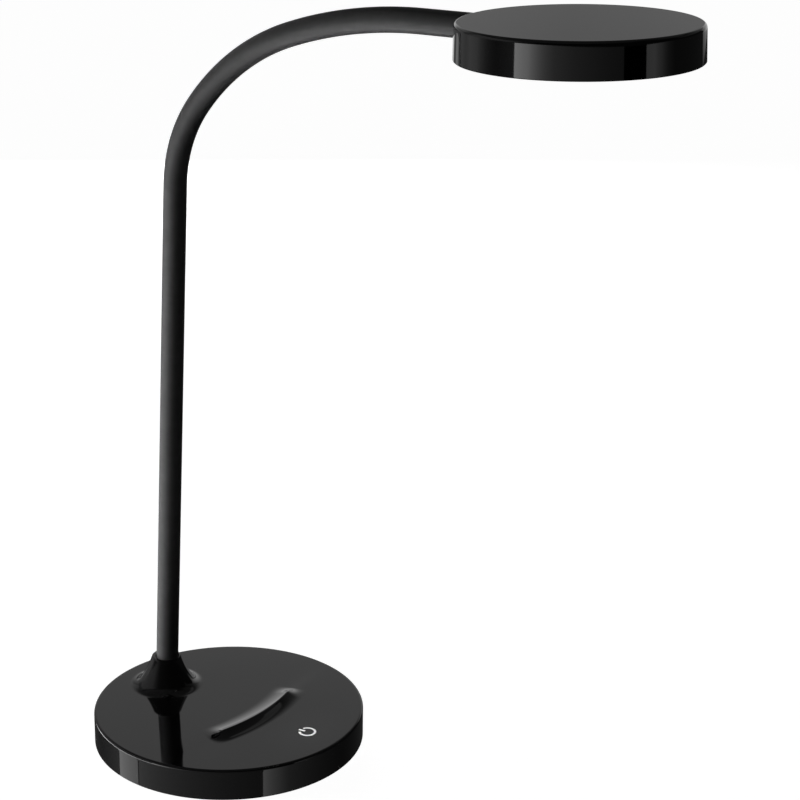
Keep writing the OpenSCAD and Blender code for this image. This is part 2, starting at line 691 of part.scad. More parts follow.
module leads(k) color("#7a2222")
    for (side = [-1, 1])
        swept(k == 1 ? sleeve_from : parted(k - 1) + touch, k == bends ? pin_end : parted(k))
            translate([0, side * lead_y]) circle(r = lead_r, $fn = 24);

module leads_1() leads(1);
module leads_2() leads(2);
module leads_3() leads(3);
module leads_4() leads(4);
module leads_5() leads(5);
module leads_6() leads(6);
module leads_7() leads(7);
module leads_8() leads(8);

// ================= head =================

// the head frame's x of a place that is given as a length along the neck
function head_x(l) = l - rim_at - head_mid_r;

module at_ring_screws(z) {
    for (a = [45, 135, 225, 315])
        rotate(a) translate([ring_screw_circle, 0, z]) children();
}

module at_strap_screws(z) {
    for (side = [-1, 1])
        translate([head_x(cradle_at + cradle_l / 2), side * strap_screw_y, z]) children();
}

// lies along the neck's axis in the head frame, drawn as a cylinder along +Z
module along_neck(l) translate([head_x(l), 0, -neck_drop]) rotate([0, 90, 0]) children();

module head_shell() color(gloss_black) in_head() difference() {
    union() {
        rotate_extrude($fn = 240)
            polygon(concat([[0, 0]],
                [for (i = [0 : 6]) [head_top_r - head_edge_r * (1 - sin(i * 15)),
                                    -head_edge_r * (1 - cos(i * 15))]],
                [[head_r, -head_h + 0.4], [head_r - 0.4, -head_h], [head_in_r, -head_h],
                 [head_in_r, -head_top_t], [0, -head_top_t]]));
        // cradle for the neck's fitting
        translate([head_x(cradle_at), -cradle_w / 2, -neck_drop])
            cube([cradle_l, cradle_w, neck_drop - head_top_t + fused]);
        at_ring_screws(sheet_top) cylinder(r = ring_boss_r, h = -head_top_t - sheet_top + fused);
    }
    along_neck(rim_at - past) cylinder(r = sleeve_r + loose, h = head_wall + head_draft + 2 * past);
    // room in the top for the fitting's cup
    along_neck(cup_from - past) cylinder(r = core_r + fit + cup_wall + fit, h = past + cup_l + fit);
    along_neck(cradle_at - past) cylinder(r = pin_r + fit, h = cradle_l + 2 * past);
    at_ring_screws(sheet_top - past)
        cylinder(r = ring_screw_r + thread_gap, h = past + ring_screw_l + tip_room);
    at_strap_screws(-neck_drop - past)
        cylinder(r = strap_screw_r + thread_gap, h = past + strap_screw_l + tip_room);
}

module head_ferrule() color(plated) in_head() difference() {
    union() {
        along_neck(cup_from) cylinder(r = core_r + fit + cup_wall, h = cup_l);
        along_neck(cup_end - fused) cylinder(r = pin_r, h = pin_l + fused);
    }
    along_neck(cup_from - past) cylinder(r = core_r + fit, h = core_end + touch - cup_from + past);
    along_neck(cup_from) cylinder(r = core_bore_r, h = cup_l + pin_l + past);
}

module neck_strap() color(plated) in_head() difference() {
    // each ear runs from the half ring to just inside the cradle's side
    ear_from = pin_r + fit + strap_t / 2;
    ear_to = cradle_w / 2 - 1;
    along_neck(cradle_at + (cradle_l - strap_l) / 2) rotate(180)
        linear_extrude(strap_l) {
            // the flat shape's -x is down, so the half ring hangs below the axis
            difference() {
                circle(r = pin_r + fit + strap_t);
                circle(r = pin_r + fit);
                translate([0, -cradle_w / 2]) square([cradle_w / 2, cradle_w]);
            }
            for (side = [-1, 1])
                translate([-strap_t - touch, side * (ear_from + ear_to) / 2 - (ear_to - ear_from) / 2])
                    square([strap_t, ear_to - ear_from]);
        }
    at_strap_screws(-neck_drop - strap_t - past) cylinder(r = strap_screw_r + fit, h = strap_t + 2 * past);
}

module strap_screws() color(steel) in_head()
    at_strap_screws(-neck_drop - strap_t - 2 * touch)
        screw(strap_head_r, strap_head_h, strap_screw_r, strap_t + strap_screw_l);

// half the ring's gap as an angle, seen from the head's middle
gap_angle = asin(ring_gap / ring_in_r);

module ring_gap_cut() translate([-head_r, -ring_gap, -head_h]) cube([head_r, 2 * ring_gap, head_h]);

module heat_ring() color("silver") in_head() difference() {
    translate([0, 0, diffuser_top]) ring(ring_out_r, ring_in_r, sheet_top - diffuser_top, $fn = 180);
    ring_gap_cut();
    at_ring_screws(diffuser_top - past) {
        cylinder(r = ring_screw_r + fit, h = sheet_top - diffuser_top + 2 * past);
        cylinder(r = ring_head_r + fit, h = past + ring_head_h + fit);
    }
}

module ring_screws() color(steel) in_head()
    at_ring_screws(diffuser_top + ring_head_h + fit)
        screw(ring_head_r, ring_head_h, ring_screw_r, sheet_top - diffuser_top - ring_head_h - fit + ring_screw_l);

tab_angles = [12.5, 19];                    // the strip's solder tab, counted from the neck
tab_h = 2.9;
module led_strip() color("#e8e4d2") in_head() {
    difference() {
        translate([0, 0, diffuser_top + touch])
            ring(ring_in_r - touch, ring_in_r - strip_t, sheet_top - diffuser_top - touch, $fn = 180);
        ring_gap_cut();
    }
    // the tab is thinner than the strip and stands on it
    translate([0, 0, sheet_top - fused]) rotate(180 - tab_angles[1])
        rotate_extrude(angle = tab_angles[1] - tab_angles[0], $fn = 180)
            translate([ring_in_r - strip_t + 2 * touch, 0]) square([strip_t - 5 * touch, tab_h + fused]);
}

module leds() color("#f5e9a0") in_head() {
    end_angle = 3;                          // between the ring's gap and the chips
    lit_arc = 360 - 2 * (gap_angle + end_angle);
    for (i = [0 : led_count - 1])
        rotate(180 + gap_angle + end_angle + lit_arc * (i + 0.5) / led_count)
            translate([ring_in_r - strip_t - led_t - touch, -led_w / 2, (diffuser_top + guide_top - led_h) / 2])
                cube([led_t, led_w, led_h]);
}

module reflector() color("white") in_head() translate([0, 0, guide_top + touch])
    cylinder(r = ring_in_r - strip_t - loose, h = sheet_top - guide_top - touch, $fn = 180);

module light_guide() color("#dfe9ee") in_head() translate([0, 0, diffuser_top + touch])
    cylinder(r = guide_r, h = guide_t - touch, $fn = 180);

module diffuser() color("#f4f3ee") in_head() translate([0, 0, bezel_top])
    cylinder(r = ring_out_r - loose, h = diffuser_t, $fn = 180);

module bezel() color(gloss_black) in_head() translate([0, 0, bezel_top - bezel_t]) difference() {
    cylinder(r = ring_out_r, h = bezel_t, $fn = 180);
    translate([0, 0, -eps]) cylinder(r1 = ring_out_r - bezel_w + bezel_t / 2, r2 = ring_out_r - bezel_w,
        h = bezel_t + 2 * eps, $fn = 180);
}

// leads from the neck's fitting, round the cradle, to the strip's solder tab
module head_leads() color("#7a2222") in_head() {
    x0 = head_x(pin_end);
    z_low = sheet_top + lead_r + 0.9;
    round_y = cradle_w / 2 + lead_r + 1.2;
    tab_r = ring_in_r - strip_t - lead_r - touch;
    for (k = [0, 1]) {
        // the second lead takes the outer side of the turn
        out = k * 1.9;
        a = 180 - tab_angles[0] - 1.7 - k * 2.3;
        side = k == 0 ? lead_y : -lead_y;
        wire(concat([[x0 + touch, side, -neck_drop]],
            curve([[x0 + 0.8, side, -neck_drop], [x0 + 2.6 + out * 0.8, 2 - out, -neck_drop - 0.2],
                [x0 + 3.4 + out, 6.2 - out * 0.3, -neck_drop - 0.9],
                [x0 + 1 + out * 0.8, round_y - 2.4 + out * 0.7, z_low + 1],
                [x0 - 4, round_y + out, z_low + 0.2], [x0 - 8.5, round_y + out, z_low],
                [tab_r * cos(a), tab_r * sin(a), z_low - 0.2]], 3)), lead_r);
    }
}

foot_pad();
base_pan();
pan_screws();
base_weight();
weight_screws();
base_cover();
neck_foot();
neck_washer();
neck_nut();
control_board();
board_parts();
board_screws();
touch_spring();
power_jack();
jack_pin();
power_leads();
lamp_leads();
core_0();
core_1();
core_2();
core_3();
core_4();
core_5();
core_6();
core_7();
core_8();
sleeve_1();
sleeve_2();
sleeve_3();
sleeve_4();
sleeve_5();
sleeve_6();
sleeve_7();
sleeve_8();
leads_1();
leads_2();
leads_3();
leads_4();
leads_5();
leads_6();
leads_7();
leads_8();
head_shell();
head_ferrule();
neck_strap();
strap_screws();
heat_ring();
ring_screws();
led_strip();
leds();
reflector();
light_guide();
diffuser();
bezel();
head_leads();
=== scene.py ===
"""Looks of the gooseneck desk lamp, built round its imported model. +Z is up, +X points to the head."""
import json
import math

import bmesh
import bpy
from mathutils import Matrix, Vector
from mathutils.geometry import delaunay_2d_cdt

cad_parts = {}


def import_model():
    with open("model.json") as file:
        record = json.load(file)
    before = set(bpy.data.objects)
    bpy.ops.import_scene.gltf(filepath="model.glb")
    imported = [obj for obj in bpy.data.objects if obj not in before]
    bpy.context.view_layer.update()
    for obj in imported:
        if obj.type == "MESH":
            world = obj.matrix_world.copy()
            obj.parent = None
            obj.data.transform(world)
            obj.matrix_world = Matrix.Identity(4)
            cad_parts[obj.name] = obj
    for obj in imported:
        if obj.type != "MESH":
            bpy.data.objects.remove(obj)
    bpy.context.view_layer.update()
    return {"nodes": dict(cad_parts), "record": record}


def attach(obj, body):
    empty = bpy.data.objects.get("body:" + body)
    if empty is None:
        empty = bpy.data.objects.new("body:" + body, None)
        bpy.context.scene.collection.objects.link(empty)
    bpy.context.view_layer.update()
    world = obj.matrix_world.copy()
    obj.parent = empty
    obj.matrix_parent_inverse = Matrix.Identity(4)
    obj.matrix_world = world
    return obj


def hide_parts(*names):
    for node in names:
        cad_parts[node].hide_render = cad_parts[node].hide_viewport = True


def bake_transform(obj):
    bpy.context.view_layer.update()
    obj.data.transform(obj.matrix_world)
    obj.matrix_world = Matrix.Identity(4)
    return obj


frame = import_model()

MM = 0.001

# ================= sizes in millimetres and degrees, as in the part's source =================

BASE_R = 80.0
BASE_H = 19.3
BASE_EDGE_R = 1.5
COVER_WALL = 2.2
RIM_H = 0.6
PAN_TOP = 3.7
CEILING = BASE_H - COVER_WALL
FOOT_EDGE = 0.3
SCREW_CIRCLE = 70.0
SCREW_ANGLES = (45, 135, 225, 315)
JACK_Z = 8.8
JACK_HOLE_R = 4.1
PAN_BOSS_R = 3.5
PAN_BORE_R = 1.3
PAN_BORE_DEEP = 7.8
BOARD_POST_X = (40.0, 70.0)
BOARD_POST_R = 2.6
BOARD_POST_L = 2.8
BOARD_BORE_R = 0.95
BOARD_BORE_DEEP = 3.05

COLLAR_H = 18.5
LIP_WALL = 0.85
LIP_ANGLE = 72.6
LIP_ROUND = 0.3
FOOT_ANGLE = 55.4
COLLAR_FILLET = 8.0

RIDGE_X = 24.8
RIDGE_BOW_R = 120.0
RIDGE_W = 58.0
RIDGE_FADE = 12.0
RIDGE_H = 3.0
RIDGE_RAMP = 13.0
RIDGE_FRONT = 9.5
RIDGE_CREST = 0.55
# Shares of the ridge's height: where its ramp meets the crest, and how the crest bulges.
RAMP_TOP = 0.97
CREST_RISE = 0.16

NECK_X = -49.0
NECK_LEAN = 2.77
SLEEVE_R = 6.6
SLEEVE_IN_R = 5.7
SLEEVE_GAP = 0.2
LEAD_R = 0.65
LEAD_Y = 0.85
NECK_STRAIGHT = 313.5
NECK_TAIL = 30.0

HEAD_R = 60.65
HEAD_TOP_R = 60.2
HEAD_IN_R = 58.0
HEAD_H = 18.2
HEAD_EDGE_R = 2.0
HEAD_TOP_T = 1.6
HEAD_FOOT_EDGE = 0.4
HEAD_MID_R = (HEAD_R + HEAD_TOP_R) / 2
NECK_DROP = 7.25
SHEET_TOP = -13.3
RING_CIRCLE = 55.4
RING_BOSS_R = 3.2
RING_BORE_R = 0.85
RING_BORE_DEEP = 5.4
CRADLE_L = 9.0
CRADLE_W = 24.0
GROOVE_R = 4.0

MARK_X = 57.9
MARK_Y = 1.0
MARK_TURN = 8
MARK_R = 5.2
MARK_STROKE = 1.35
MARK_GAP = 30
MARK_BAR = (-5.6, -1.5)

# How far a boss runs into its wall, and the narrow band that keeps the shading flat beside a fillet.
SUNK = 0.3
SUPPORT = 0.3


def sin(degrees):
    """The sine of an angle in degrees."""
    return math.sin(math.radians(degrees))


def cos(degrees):
    """The cosine of an angle in degrees."""
    return math.cos(math.radians(degrees))


def rotation(degrees, axis):
    """A turn about one of the axes."""
    return Matrix.Rotation(math.radians(degrees), 4, axis)


# ================= the neck's centreline =================

BEND_RADII = (0, 82.0, 140.8, 271.0, 0)
BEND_ANGLES = (0, 35.1, 32.4, 18.25, 0)
BENDS = 8
UPRIGHT_BENDS = 4
FIRST_BEND_AT = 52.0


def stretch_lengths():
    """The upright, the three bends, and the straight run to the middle of the head."""
    arcs = [r * math.radians(a) for r, a in zip(BEND_RADII[1:4], BEND_ANGLES[1:4])]
    return [NECK_STRAIGHT] + arcs + [NECK_TAIL + HEAD_R]


LENGTHS = stretch_lengths()
RIM_AT = sum(LENGTHS[:4]) + NECK_TAIL
BEND_PITCH = (LENGTHS[0] - FIRST_BEND_AT) / (UPRIGHT_BENDS - 0.5)


def neck_at(length):
    """The point and the heading on the neck's centreline, a length up from the base's top."""
    point = Vector((NECK_X, 0, BASE_H))
    heading = 90 - NECK_LEAN
    for i, (run, radius, angle) in enumerate(zip(LENGTHS, BEND_RADII, BEND_ANGLES)):
        last = i == len(LENGTHS) - 1
        run = length if last else min(run, length)
        length -= run
        if radius:
            turned = heading - math.degrees(run / radius)
            point += radius * Vector((sin(heading) - sin(turned), 0, cos(turned) - cos(heading)))
            heading = turned
        else:
            point += run * Vector((cos(heading), 0, sin(heading)))
        if length <= 0:
            break
    return point, heading


def parted(k):
    """Where sleeve k ends and sleeve k + 1 starts."""
    if k <= UPRIGHT_BENDS:
        return FIRST_BEND_AT + (k - 0.5) * BEND_PITCH
    return RIM_AT if k == BENDS else sum(LENGTHS[: k - 3])


def bend_at(k):
    """Where the neck bends between body k - 1 and body k."""
    if k <= UPRIGHT_BENDS:
        return FIRST_BEND_AT + (k - 1) * BEND_PITCH
    return (parted(k - 1) + parted(k)) / 2


HEAD_RISE = neck_at(sum(LENGTHS[:4]))[1]
SLEEVE_FROM = -1.263
SLEEVE_TO = RIM_AT + 2.525
LEADS_TO = RIM_AT + 22.225
CRADLE_AT = RIM_AT + 10.225


def head_place():
    """From the head's own frame, at the middle of its top face, to the lamp's."""
    point = neck_at(RIM_AT)[0]
    middle = Matrix.Translation((HEAD_MID_R, 0, NECK_DROP))
    return Matrix.Translation(point) @ rotation(-HEAD_RISE, "Y") @ middle


# ================= building shells =================


def arc(centre, radius, start, end, steps):
    """Points on an arc, as [across, up]."""
    angles = [start + (end - start) * i / steps for i in range(steps + 1)]
    return [[centre[0] + radius * cos(a), centre[1] + radius * sin(a)] for a in angles]


def flare(start, radius, steep_0, steep_1, steps):
    """An arc of a moulded profile that goes down and outwards from one steepness to another."""
    points = []
    for i in range(steps + 1):
        a = steep_0 + (steep_1 - steep_0) * i / steps
        across = start[0] + radius * (sin(steep_0) - sin(a))
        points.append([across, start[1] + radius * (cos(steep_0) - cos(a))])
    return points


def finer(profile, step):
    """The same profile with no two points further apart than step."""
    points = [profile[0]]
    for a, b in zip(profile, profile[1:]):
        count = max(1, math.ceil(math.dist(a, b) / step))
        for i in range(1, count + 1):
            t = i / count
            points.append([a[0] + (b[0] - a[0]) * t, a[1] + (b[1] - a[1]) * t])
    return points


class Along:
    """Looks up points of a [radius, height] profile by the length along it, or by height."""

    def __init__(self, profile):
        self.profile = profile
        self.run = [0.0]
        for a, b in zip(profile, profile[1:]):
            self.run.append(self.run[-1] + math.dist(a, b))

    def at(self, length):
        for i in range(len(self.run) - 1):
            if length <= self.run[i + 1] or i == len(self.run) - 2:
                t = (length - self.run[i]) / (self.run[i + 1] - self.run[i])
                a, b = self.profile[i], self.profile[i + 1]
                return a[0] + (b[0] - a[0]) * t, a[1] + (b[1] - a[1]) * t

    def length_at_height(self, height):
        for i, (a, b) in enumerate(zip(self.profile, self.profile[1:])):
            low, high = sorted((a[1], b[1]))
            if low <= height <= high and high > low:
                t = (height - a[1]) / (b[1] - a[1])
                return self.run[i] + t * (self.run[i + 1] - self.run[i])


class Skin:
    """A shell made of rows of points in millimetres, welded into one mesh."""

    WELD = 0.002
    # Slack in telling a face at a hole's edge from one inside the hole.
    SLACK = 0.01
    # Round a hole: a ring of points close to its edge, no others near it, and the finer patch's margin.
    HOLE_RING = 0.4
    HOLE_CLEAR = 0.9
    HOLE_MARGIN = 1.6

    def __init__(self, place=None):
        self.mesh = bmesh.new()
        self.place = place or Matrix.Identity(4)

    def vert(self, point):
        return self.mesh.verts.new(self.place @ Vector(point))

    def grid(self, rows):
        """Faces between neighbouring rows of the same length."""
        made = [[self.vert(p) for p in row] for row in rows]
        for low, high in zip(made, made[1:]):
            for a, b, c, d in zip(low, low[1:], high[1:], high):
                self.mesh.faces.new((a, b, c, d)).smooth = True

    def fill(self, loops, keep, lift, extra=(), smooth=False):
        """Triangles between flat closed loops and extra points, where keep is true of their middle."""
        points = []
        edges = []
        for loop in loops:
            first = len(points)
            points += [Vector(p) for p in loop]
            edges += [(first + i, first + (i + 1) % len(loop)) for i in range(len(loop))]
        points += [Vector(p) for p in extra]
        flat, _, faces = delaunay_2d_cdt(points, edges, [], 0, 1e-5)[:3]
        verts = [self.vert(lift(p)) for p in flat]
        for face in faces:
            middle = sum((flat[i] for i in face), Vector((0, 0))) / len(face)
            if keep(middle):
                self.mesh.faces.new([verts[i] for i in face]).smooth = smooth

    def turned(self, profile, segments, centre=(0, 0), hole=None):
        """Revolves a [radius, height] profile. A hole of (height, radius) opens the side that faces -X
        and gives back its rim."""

        def point(r, angle, z):
            return centre[0] + r * math.cos(angle), centre[1] + r * math.sin(angle), z

        step = 2 * math.pi / segments
        if hole is None:
            self.grid([[point(r, j * step, z) for j in range(segments + 1)] for r, z in profile])
            return None
        height, size = hole
        along = Along(profile)
        mean = profile[0][0]
        half = math.ceil((size + self.HOLE_MARGIN) / (mean * step))
        middle = segments // 2
        columns = range(middle + half, middle - half + segments + 1)
        self.grid([[point(r, j * step, z) for j in columns] for r, z in profile])
        near = size + self.HOLE_MARGIN
        inside = [i for i, (r, z) in enumerate(profile) if abs(z - height) < near]
        first = max(0, inside[0] - 1)
        last = min(len(profile) - 1, inside[-1] + 1)
        columns = range(middle - half, middle + half + 1)
        for part in (profile[: first + 1], profile[last:]):
            if len(part) > 1:
                self.grid([[point(r, j * step, z) for j in columns] for r, z in part])

        def rim(radius, count=72):
            flat = []
            for i in range(count):
                a = 360 * i / count
                run = along.length_at_height(height + radius * sin(a))
                r = along.at(run)[0]
                flat.append((mean * (math.pi - math.asin(radius * cos(a) / r)), run))
            return flat

        def lift(p):
            r, z = along.at(p[1])
            return point(r, p[0] / mean, z)

        def away(p):
            r, z = along.at(p[1])
            return math.hypot(r * math.sin(p[0] / mean), z - height)

        runs = along.run[first : last + 1]
        left, right = mean * columns[0] * step, mean * columns[-1] * step
        across = [mean * j * step for j in columns]
        border = [(u, runs[0]) for u in across] + [(right, s) for s in runs[1:-1]]
        border += [(u, runs[-1]) for u in reversed(across)] + [(left, s) for s in reversed(runs[1:-1])]
        extra = [(u, s) for u in across[1:-1] for s in runs[1:-1]]
        extra = [p for p in extra if away(p) > size + self.HOLE_CLEAR]
        opening = rim(size)
        loops = [border, opening, rim(size + self.HOLE_RING)]
        self.fill(loops, lambda p: away(p) > size - self.SLACK, lift, extra, True)
        return [lift(p) for p in opening]

    def finish(self, name, material, slot=None, sharp=32):
        """Welds the mesh, turns its faces outwards and makes the object, in metres. Edges sharper than
        the angle stay sharp."""
        bmesh.ops.remove_doubles(self.mesh, verts=self.mesh.verts, dist=self.WELD)
        loose = [v for v in self.mesh.verts if not v.link_faces]
        bmesh.ops.delete(self.mesh, geom=loose, context="VERTS")
        bmesh.ops.recalc_face_normals(self.mesh, faces=self.mesh.faces)
        bmesh.ops.scale(self.mesh, vec=(MM, MM, MM), verts=self.mesh.verts)
        mesh = bpy.data.meshes.new(name)
        self.mesh.to_mesh(mesh)
        self.mesh.free()
        mesh.set_sharp_from_angle(angle=math.radians(sharp))
        mesh.materials.append(material)
        piece = bpy.data.objects.new(name, mesh)
        bpy.context.scene.collection.objects.link(piece)
        return piece


def circle(centre, radius, count):
    """A closed loop of flat points."""
    angles = [360 * i / count for i in range(count)]
    return [(centre[0] + radius * cos(a), centre[1] + radius * sin(a)) for a in angles]


# ================= finishes =================


class Finish:
    """A procedural material: one Principled shader and the nodes that vary it."""

    def __init__(self, name, colour, roughness, **sockets):
        self.material = bpy.data.materials.new(name)
        self.material.use_nodes = True
        self.tree = self.material.node_tree
        self.shader = self.tree.nodes["Principled BSDF"]
        self.shader.inputs["Base Color"].default_value = (*colour, 1)
        self.shader.inputs["Roughness"].default_value = roughness
        for socket, value in sockets.items():
            self.shader.inputs[socket.replace("_", " ")].default_value = value
        self.colour = colour
        self.normal = None
        self.where = self.node("ShaderNodeTexCoord").outputs["Object"]

    def node(self, kind, **values):
        made = self.tree.nodes.new(kind)
        for name, value in values.items():
            if name in made.inputs:
                made.inputs[name].default_value = value
            else:
                setattr(made, name, value)
        return made

    def link(self, start, end):
        self.tree.links.new(start, end)

    def noise(self, size, detail, stretch=(1, 1, 1)):
        """Cloudy noise whose lumps are about size millimetres across."""
        mapping = self.node("ShaderNodeMapping")
        mapping.inputs["Scale"].default_value = [s / (size * MM) for s in stretch]
        self.link(self.where, mapping.inputs["Vector"])
        texture = self.node("ShaderNodeTexNoise", Scale=1.0, Detail=detail, Roughness=0.5)
        self.link(mapping.outputs["Vector"], texture.inputs["Vector"])
        return texture.outputs["Fac"]

    def cells(self, size):
        """Rounded cells about size millimetres across."""
        texture = self.node("ShaderNodeTexVoronoi", Scale=1 / (size * MM))
        self.link(self.where, texture.inputs["Vector"])
        return texture.outputs["Distance"]

    def tint(self, value, second, start=0.35, end=0.65):
        """Fades the colour into a second one by a pattern."""
        ramp = self.node("ShaderNodeValToRGB")
        ramp.color_ramp.elements[0].position = start
        ramp.color_ramp.elements[0].color = (*self.colour, 1)
        ramp.color_ramp.elements[1].position = end
        ramp.color_ramp.elements[1].color = (*second, 1)
        self.link(value, ramp.inputs["Fac"])
        self.link(ramp.outputs["Color"], self.shader.inputs["Base Color"])

    def rough(self, value, low, high):
        """Varies the roughness from low to high over the middle of a pattern's range."""
        ranged = self.node("ShaderNodeMapRange")
        ranged.inputs["From Min"].default_value = 0.3
        ranged.inputs["From Max"].default_value = 0.7
        ranged.inputs["To Min"].default_value = low
        ranged.inputs["To Max"].default_value = high
        self.link(value, ranged.inputs["Value"])
        self.link(ranged.outputs["Result"], self.shader.inputs["Roughness"])

    def bump(self, height, depth):
        """Raises the surface by a pattern; depth is in millimetres."""
        bump = self.node("ShaderNodeBump", Strength=1.0, Distance=depth * MM)
        self.link(height, bump.inputs["Height"])
        if self.normal:
            self.link(self.normal, bump.inputs["Normal"])
        self.normal = bump.outputs["Normal"]
        self.link(self.normal, self.shader.inputs["Normal"])


def gloss_cover():
    """Polished black moulding: a hair of orange peel and the faint haze of handling."""
    f = Finish("gloss_cover", (0.004, 0.004, 0.0042), 0.045, IOR=1.5)
    f.rough(f.noise(14, 4), 0.035, 0.06)
    f.bump(f.noise(5.5, 2), 0.0012)
    return f.material


def sleeve_silicone():
    """Satin black silicone with a fine matt grain and a trace of dust."""
    f = Finish("sleeve_silicone", (0.05, 0.05, 0.051), 0.6, IOR=1.5)
    f.shader.inputs["Sheen Weight"].default_value = 0.15
    f.shader.inputs["Sheen Roughness"].default_value = 0.35
    f.tint(f.noise(9, 5), (0.058, 0.058, 0.059))
    f.rough(f.noise(3, 4), 0.55, 0.65)
    f.bump(f.noise(0.28, 2), 0.006)
    f.bump(f.noise(6, 2), 0.02)
    return f.material


def pad_foam():
    f = Finish("pad_foam", (0.035, 0.035, 0.037), 0.92)
    f.tint(f.cells(0.9), (0.012, 0.012, 0.013), 0.2, 0.6)
    f.bump(f.cells(0.9), 0.12)
    return f.material


def pan_plastic():
    f = Finish("pan_plastic", (0.018, 0.018, 0.02), 0.5)
    f.rough(f.noise(4, 4), 0.45, 0.58)
    f.bump(f.noise(0.5, 3), 0.02)
    return f.material


def metal(name, colour, roughness, grain=0.5, worn=None):
    """Bare or plated metal with fine grain and slow changes of tone."""
    f = Finish(name, colour, roughness, Metallic=1.0)
    f.tint(f.noise(7, 4), worn or [c * 0.82 for c in colour])
    f.rough(f.noise(1.5, 5), roughness * 0.8, roughness * 1.3)
    f.bump(f.noise(grain, 3), 0.008)
    return f.material


def coil_steel():
    """Coiled steel: the grain runs round the neck, and oil darkens the grooves."""
    f = Finish("coil_steel", (0.4, 0.41, 0.43), 0.34, Metallic=1.0)
    f.tint(f.noise(5, 5), (0.24, 0.23, 0.22))
    f.rough(f.noise(1.2, 4, (1, 1, 6)), 0.26, 0.45)
    f.bump(f.noise(0.6, 3, (1, 1, 8)), 0.012)
    return f.material


def circuit_board():
    """Green solder mask, lighter over the copper."""
    f = Finish("circuit_board", (0.006, 0.05, 0.02), 0.28)
    f.shader.inputs["Coat Weight"].default_value = 0.4
    lanes = f.node("ShaderNodeTexBrick", Scale=1 / (4 * MM))
    lanes.inputs["Mortar Size"].default_value = 0.1
    lanes.inputs["Color1"].default_value = (0, 0, 0, 1)
    lanes.inputs["Color2"].default_value = (0.1, 0.1, 0.1, 1)
    lanes.inputs["Mortar"].default_value = (1, 1, 1, 1)
    f.link(f.where, lanes.inputs["Vector"])
    f.tint(lanes.outputs["Color"], (0.015, 0.12, 0.05), 0.2, 0.8)
    f.bump(lanes.outputs["Color"], 0.03)
    return f.material


def electronic_parts():
    """Each part on the board has its own shade."""
    f = Finish("electronic_parts", (0.012, 0.012, 0.013), 0.4)
    island = f.node("ShaderNodeNewGeometry").outputs["Random Per Island"]
    f.tint(island, (0.3, 0.27, 0.2), 0.45, 0.75)
    f.bump(f.noise(0.4, 3), 0.01)
    return f.material


def inlet_plastic():
    f = Finish("inlet_plastic", (0.012, 0.012, 0.012), 0.36)
    f.rough(f.noise(2, 4), 0.3, 0.45)
    f.bump(f.noise(0.35, 3), 0.008)
    return f.material


def lead_insulation():
    f = Finish("lead_insulation", (0.16, 0.012, 0.012), 0.38)
    f.tint(f.noise(12, 2), (0.11, 0.008, 0.008))
    f.bump(f.noise(1.2, 2), 0.015)
    return f.material


def strip_film():
    f = Finish("strip_film", (0.75, 0.72, 0.6), 0.35)
    f.tint(f.noise(3, 3), (0.62, 0.56, 0.38), 0.5, 0.75)
    f.bump(f.noise(1, 2), 0.01)
    return f.material


def led_phosphor():
    f = Finish("led_phosphor", (0.85, 0.72, 0.2), 0.5)
    f.tint(f.noise(0.8, 3), (0.9, 0.62, 0.1))
    f.bump(f.noise(0.3, 2), 0.02)
    return f.material


def white_sheet():
    f = Finish("white_sheet", (0.9, 0.9, 0.9), 0.45)
    f.tint(f.noise(20, 3), (0.86, 0.86, 0.85))
    f.bump(f.noise(0.6, 2), 0.005)
    return f.material


def clear_acrylic():
    """Clear light guide with rows of printed dots."""
    f = Finish("clear_acrylic", (0.94, 0.96, 0.97), 0.08, IOR=1.49)
    f.shader.inputs["Transmission Weight"].default_value = 0.9
    f.rough(f.cells(2.0), 0.3, 0.04)
    f.bump(f.cells(2.0), 0.01)
    return f.material


def opal_acrylic():
    """Opal sheet with a satin prismatic face."""
    f = Finish("opal_acrylic", (0.86, 0.86, 0.84), 0.34, IOR=1.49)
    f.shader.inputs["Subsurface Weight"].default_value = 0.3
    f.shader.inputs["Subsurface Radius"].default_value = (0.002, 0.002, 0.002)
    f.tint(f.noise(25, 2), (0.83, 0.83, 0.81))
    f.bump(f.cells(0.7), 0.015)
    return f.material


def bezel_plastic():
    f = Finish("bezel_plastic", (0.01, 0.01, 0.011), 0.14, IOR=1.5)
    f.rough(f.noise(6, 4), 0.1, 0.2)
    f.bump(f.noise(3, 2), 0.002)
    return f.material


def mark_print():
    """White tampo print, slightly uneven in cover."""
    f = Finish("mark_print", (0.86, 0.86, 0.86), 0.4)
    f.tint(f.noise(1.6, 4), (0.78, 0.78, 0.78))
    f.bump(f.noise(0.2, 2), 0.004)
    return f.material


FINISHES = {
    "foam": pad_foam(),
    "pan_plastic": pan_plastic(),
    "steel": metal("steel", (0.58, 0.59, 0.61), 0.32),
    "ballast": metal("ballast", (0.34, 0.35, 0.36), 0.5, 1.4, (0.22, 0.2, 0.18)),
    "gloss_cover": gloss_cover(),
    "plated_steel": metal("plated_steel", (0.7, 0.71, 0.72), 0.2),
    "circuit_board": circuit_board(),
    "electronic_parts": electronic_parts(),
    "spring_wire": metal("spring_wire", (0.72, 0.48, 0.25), 0.25),
    "inlet_plastic": inlet_plastic(),
    "plated_brass": metal("plated_brass", (0.74, 0.7, 0.6), 0.18),
    "lead_insulation": lead_insulation(),
    "core_steel": coil_steel(),
    "sleeve_silicone": sleeve_silicone(),
    "bare_aluminium": metal("bare_aluminium", (0.78, 0.79, 0.8), 0.3, 0.3),
    "strip_film": strip_film(),
    "led_phosphor": led_phosphor(),
    "white_sheet": white_sheet(),
    "clear_acrylic": clear_acrylic(),
    "opal_acrylic": opal_acrylic(),
    "bezel_plastic": bezel_plastic(),
}


